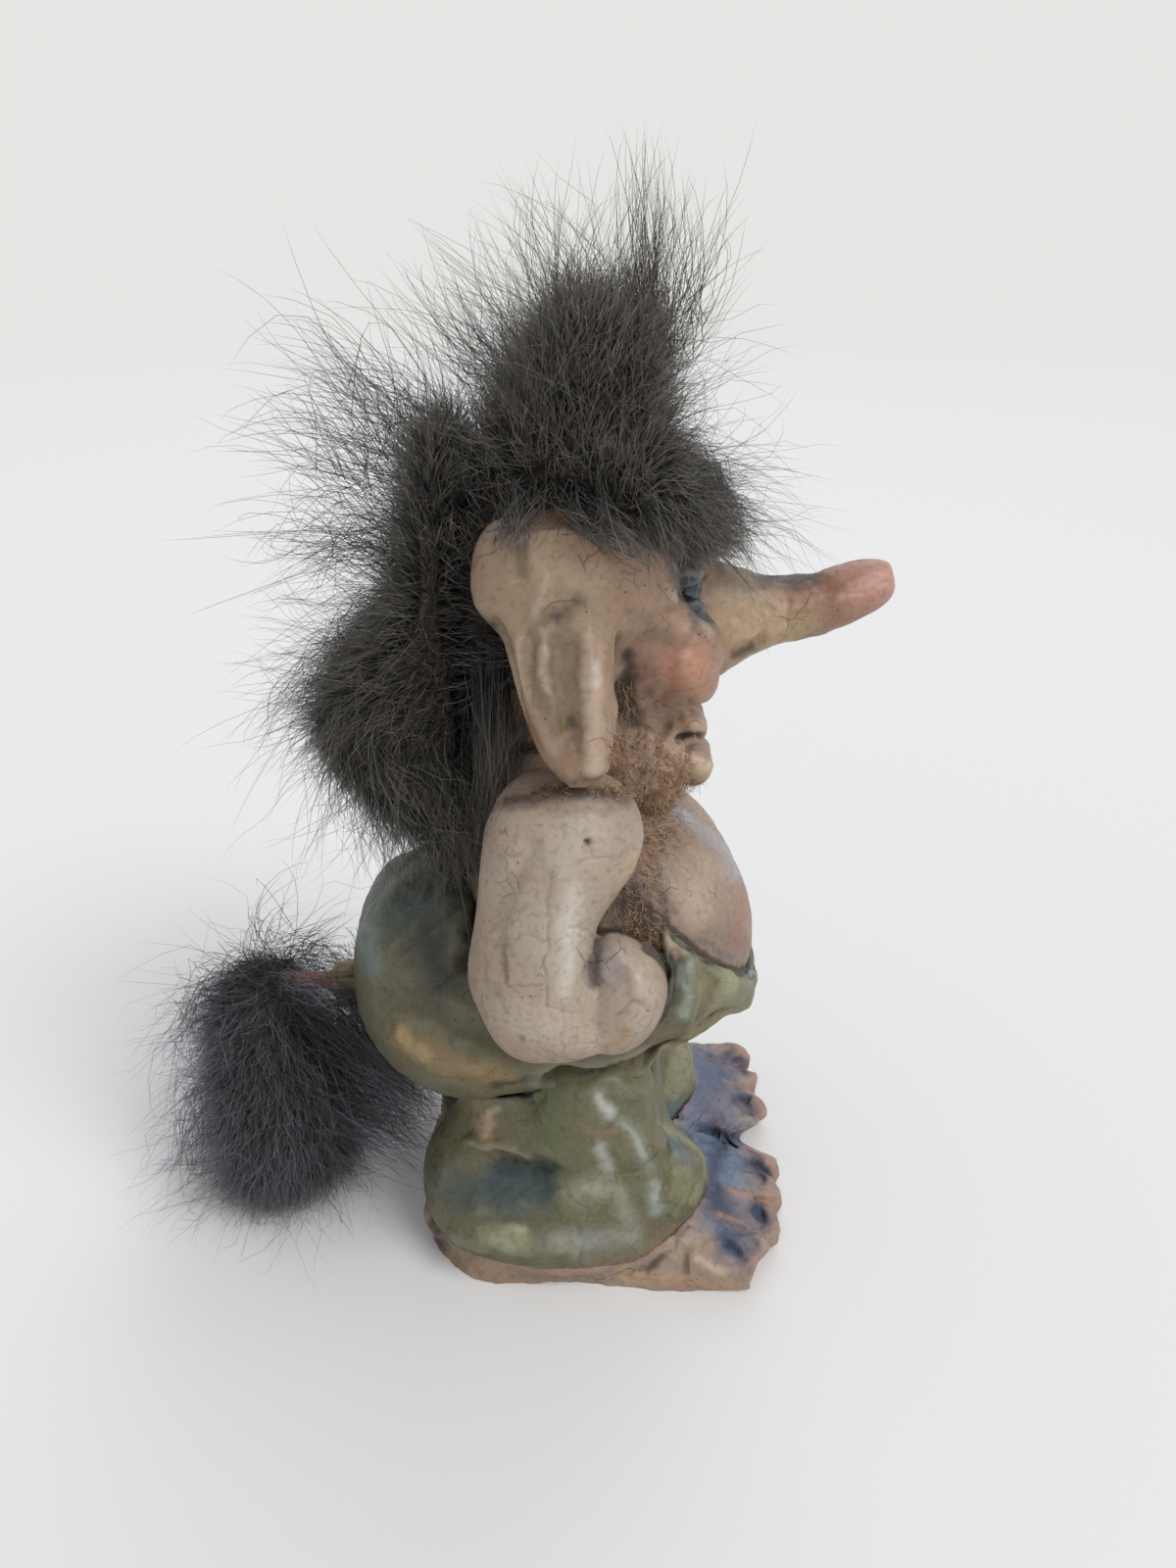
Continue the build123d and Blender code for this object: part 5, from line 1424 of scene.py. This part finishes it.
def plainFinish(name, spec):
    # Two shades in a noise, with a matching grain
    finish = Finish(name)
    where = finish.places()
    share = finish.between(finish.noise(spec["grain"], 4, where), 0.35, 0.65)
    finish.put(Base_Color=finish.mix(share, tone(spec["shades"][0]), tone(spec["shades"][1])))
    finish.put(Roughness=spec["rough"] + (share - 0.5) * 0.1)
    finish.put(Normal=finish.bump(share, spec["bump"]))
    finish.put(Metallic=spec.get("metal", 0.0), Coat_Weight=spec.get("varnish", 0.0))
    return finish.material


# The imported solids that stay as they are, with their finishes
staying = {
    "right_eye left_eye": {
        "grain": 1.2, "shades": ("#10202c", "#1d3a46"), "rough": 0.12, "bump": 0.01, "varnish": 1.0,
    },
    "scalp_backing": {"grain": 0.5, "shades": ("#1a1613", "#3a332b"), "rough": 0.9, "bump": 0.2},
    "tail_collar": {"grain": 1.5, "shades": ("#6a5a40", "#8f7a58"), "rough": 0.55, "bump": 0.15},
    "tail_stalk": {"grain": 1.0, "shades": ("#8c5a4c", "#a4705e"), "rough": 0.55, "bump": 0.1},
    "tail_pin tail_wire": {
        "grain": 0.4, "shades": ("#8a8a8a", "#a2a2a2"), "rough": 0.35, "bump": 0.01, "metal": 1.0,
    },
}
for nodes, spec in staying.items():
    material = plainFinish(nodes.replace(" ", "_") + "Finish", spec)
    for node in nodes.split():
        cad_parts[node].material_slots[0].material = material
print(len(staying), "finishes put on the packed solids that stay")

takePhoto()
sculpt("headSkin", headSkin)
for side, sign in (("right", -1), ("left", 1)):
    sculpt(side + "Arm", armSkin | {"nodes": [side + "_arm"]})
    sculpt(side + "Leg", legSkin | {"nodes": [side + "_trouser_leg"], "sides": [sign]})
sculpt("belly", bellySkin)
sculpt("trouserSeat", seatSkin)
sculpt("feet", footSkin)


def flock(name, spec, finish):
    # Short fibres lying on the skin where the photograph shows them
    rng = np.random.default_rng(spec["seed"])
    roots, normals = [], []
    for piece in spec["on"]:
        spots, ways = scattered(bpy.data.objects[piece].data, spec["tries"], rng)
        places = photoPlaces(spots)
        chance = np.zeros(len(spots))
        for pieces, wide, share, line in spec["where"]:
            if piece in pieces:
                chance = np.maximum(chance, strokeMask(places, line, wide) * share)
        facing = (mirroredNormals(spots, ways) * viewLines(spots)).sum(axis=1)
        kept = (rng.random(len(spots)) < chance) & (facing > spec["facing"])
        roots.append(spots[kept])
        normals.append(ways[kept])
    roots, normals = np.concatenate(roots), np.concatenate(normals)
    paths = grow(roots - normals * spec["rootDeep"] * mm, normals, spec, rng)
    tones = rng.beta(*spec["tones"], len(paths))
    strands(name, paths, spec["radius"] * mm, tones, finish, "root")
    print(name, len(paths), "fibres")


skinFlock = {
    "on": ["headSkin", "belly", "rightArm", "leftArm"], "tries": 100000, "seed": 91, "steps": 2,
    "length": (1.2, 3.0), "radius": 0.038, "stray": 0.9, "kink": 0.5, "lift": 0.3, "lastLift": 0.05,
    "hang": 0.1, "rootDeep": 0.1, "combs": [[(660, 760), (670, 860)], [(640, 900), (655, 960)]],
    "facing": -0.2,  # cosine to the camera, below which no fibre stands
    "tones": (0.7, 0.8),  # shape of a beta spread, which has many pale and many dark fibres
    # Pieces, half width in pixels, share of fibres, line
    "where": [
        (["headSkin", "belly"], 44, 1.0, [(650, 765), (665, 800), (662, 850)]),
        (["headSkin"], 20, 0.9, [(690, 780), (700, 800)]),
        (["belly"], 36, 1.0, [(655, 870), (645, 920), (655, 950)]),
        (["headSkin"], 14, 0.4, [(640, 700), (642, 740)]),
        (["rightArm", "leftArm"], 11, 0.5, [(540, 808), (590, 804), (640, 806)]),
    ],
}
flockShades = {
    "along": [(0.0, "#bca58e"), (0.5, "#e0c8ac"), (1.0, "#ecdcc4")],
    "across": [(0.0, "#7c6a5c"), (0.35, "#c4ac94"), (0.7, "#ecd8c0"), (1.0, "#fff8ee")],
    "gloss": 0.3,
}
flock("skinFlock", skinFlock, furFinish("flockFibre", flockShades))
furFinishes = {"strand": furFinish("longPile", furShades), "core": coreFinish("mattedPile")}
tailFinishes = furFinishes | {"strand": furFinish("tailPile", tailShades)}
cores = [
    furPiece("crownFur", crownFur, furFinishes),
    furPiece("backFur", backFur, furFinishes),
    furPiece("tailFur", tailFur, tailFinishes),
]
furPiece("scalpFur", scalpFur, furFinishes, treeFrom(joined(cores)))

studio = {
    "pale": (0.80, 0.79, 0.775),
    "floorRadius": 6,  # metres
    "fade": (0.25, 1.2),  # metres from the figure between which the floor turns into background
    "sky": (0.93, 0.95, 1.0),
    "skyStrength": 0.62,
    "suns": {
        "keySun": {
            "from": (0.75, -0.55, 1.15), "strength": 1.5, "spread": 28, "tint": (1.0, 0.995, 0.985),
        },
        "rimSun": {"from": (0.2, 1.0, 0.9), "strength": 0.5, "spread": 40, "tint": (0.9, 0.95, 1.0)},
    },
}


def paleFloor(spec):
    # A round floor that fades into the background
    bm = bmesh.new()
    bmesh.ops.create_circle(bm, cap_ends=True, segments=96, radius=spec["floorRadius"])
    floor = pieceObject("floor", meshFrom("floor", bm))
    pale = np.array(spec["pale"])
    finish = Finish("paleFloor")
    finish.put(Base_Color=pale, Roughness=0.7, Specular_IOR_Level=0.2)
    fade = finish.between(finish.vector("LENGTH", {0: finish.places()}, "Value"), *spec["fade"])
    glow = finish.node("ShaderNodeEmission", {}, {"Color": pale, "Strength": 1.0})
    plain = Wire(finish, finish.shader.outputs[0])
    both = finish.node("ShaderNodeMixShader", {}, {0: fade, 1: plain, 2: glow})
    finish.feed(finish.tree.nodes["Material Output"].inputs[0], both)
    floor.data.materials.append(finish.material)


def softLight(spec):
    # A pale background, a soft sky and two broad suns
    world = bpy.data.worlds.new("studio")
    world.use_nodes = True
    bpy.context.scene.world = world
    nodes = Nodes(world.node_tree)
    background = nodes.tree.nodes["Background"]
    nodes.feed(background.inputs["Color"], np.array(spec["sky"]))
    nodes.feed(background.inputs["Strength"], spec["skyStrength"])
    lit = Wire(nodes, background.outputs[0])
    seen = nodes.node("ShaderNodeBackground", {}, {"Color": np.array(spec["pale"])})
    toCamera = nodes.node("ShaderNodeLightPath", {}, {}, "Is Camera Ray")
    both = nodes.node("ShaderNodeMixShader", {}, {0: toCamera, 1: lit, 2: seen})
    nodes.feed(nodes.tree.nodes["World Output"].inputs[0], both)
    for name, sun in spec["suns"].items():
        data = bpy.data.lights.new(name, "SUN")
        data.energy, data.angle, data.color = sun["strength"], math.radians(sun["spread"]), sun["tint"]
        light = bpy.data.objects.new(name, data)
        light.rotation_euler = Vector(sun["from"]).to_track_quat("Z", "Y").to_euler()
        bpy.context.scene.collection.objects.link(light)


paleFloor(studio)
softLight(studio)
bpy.context.scene.view_settings.view_transform = "Standard"
print("floor and lamps set")
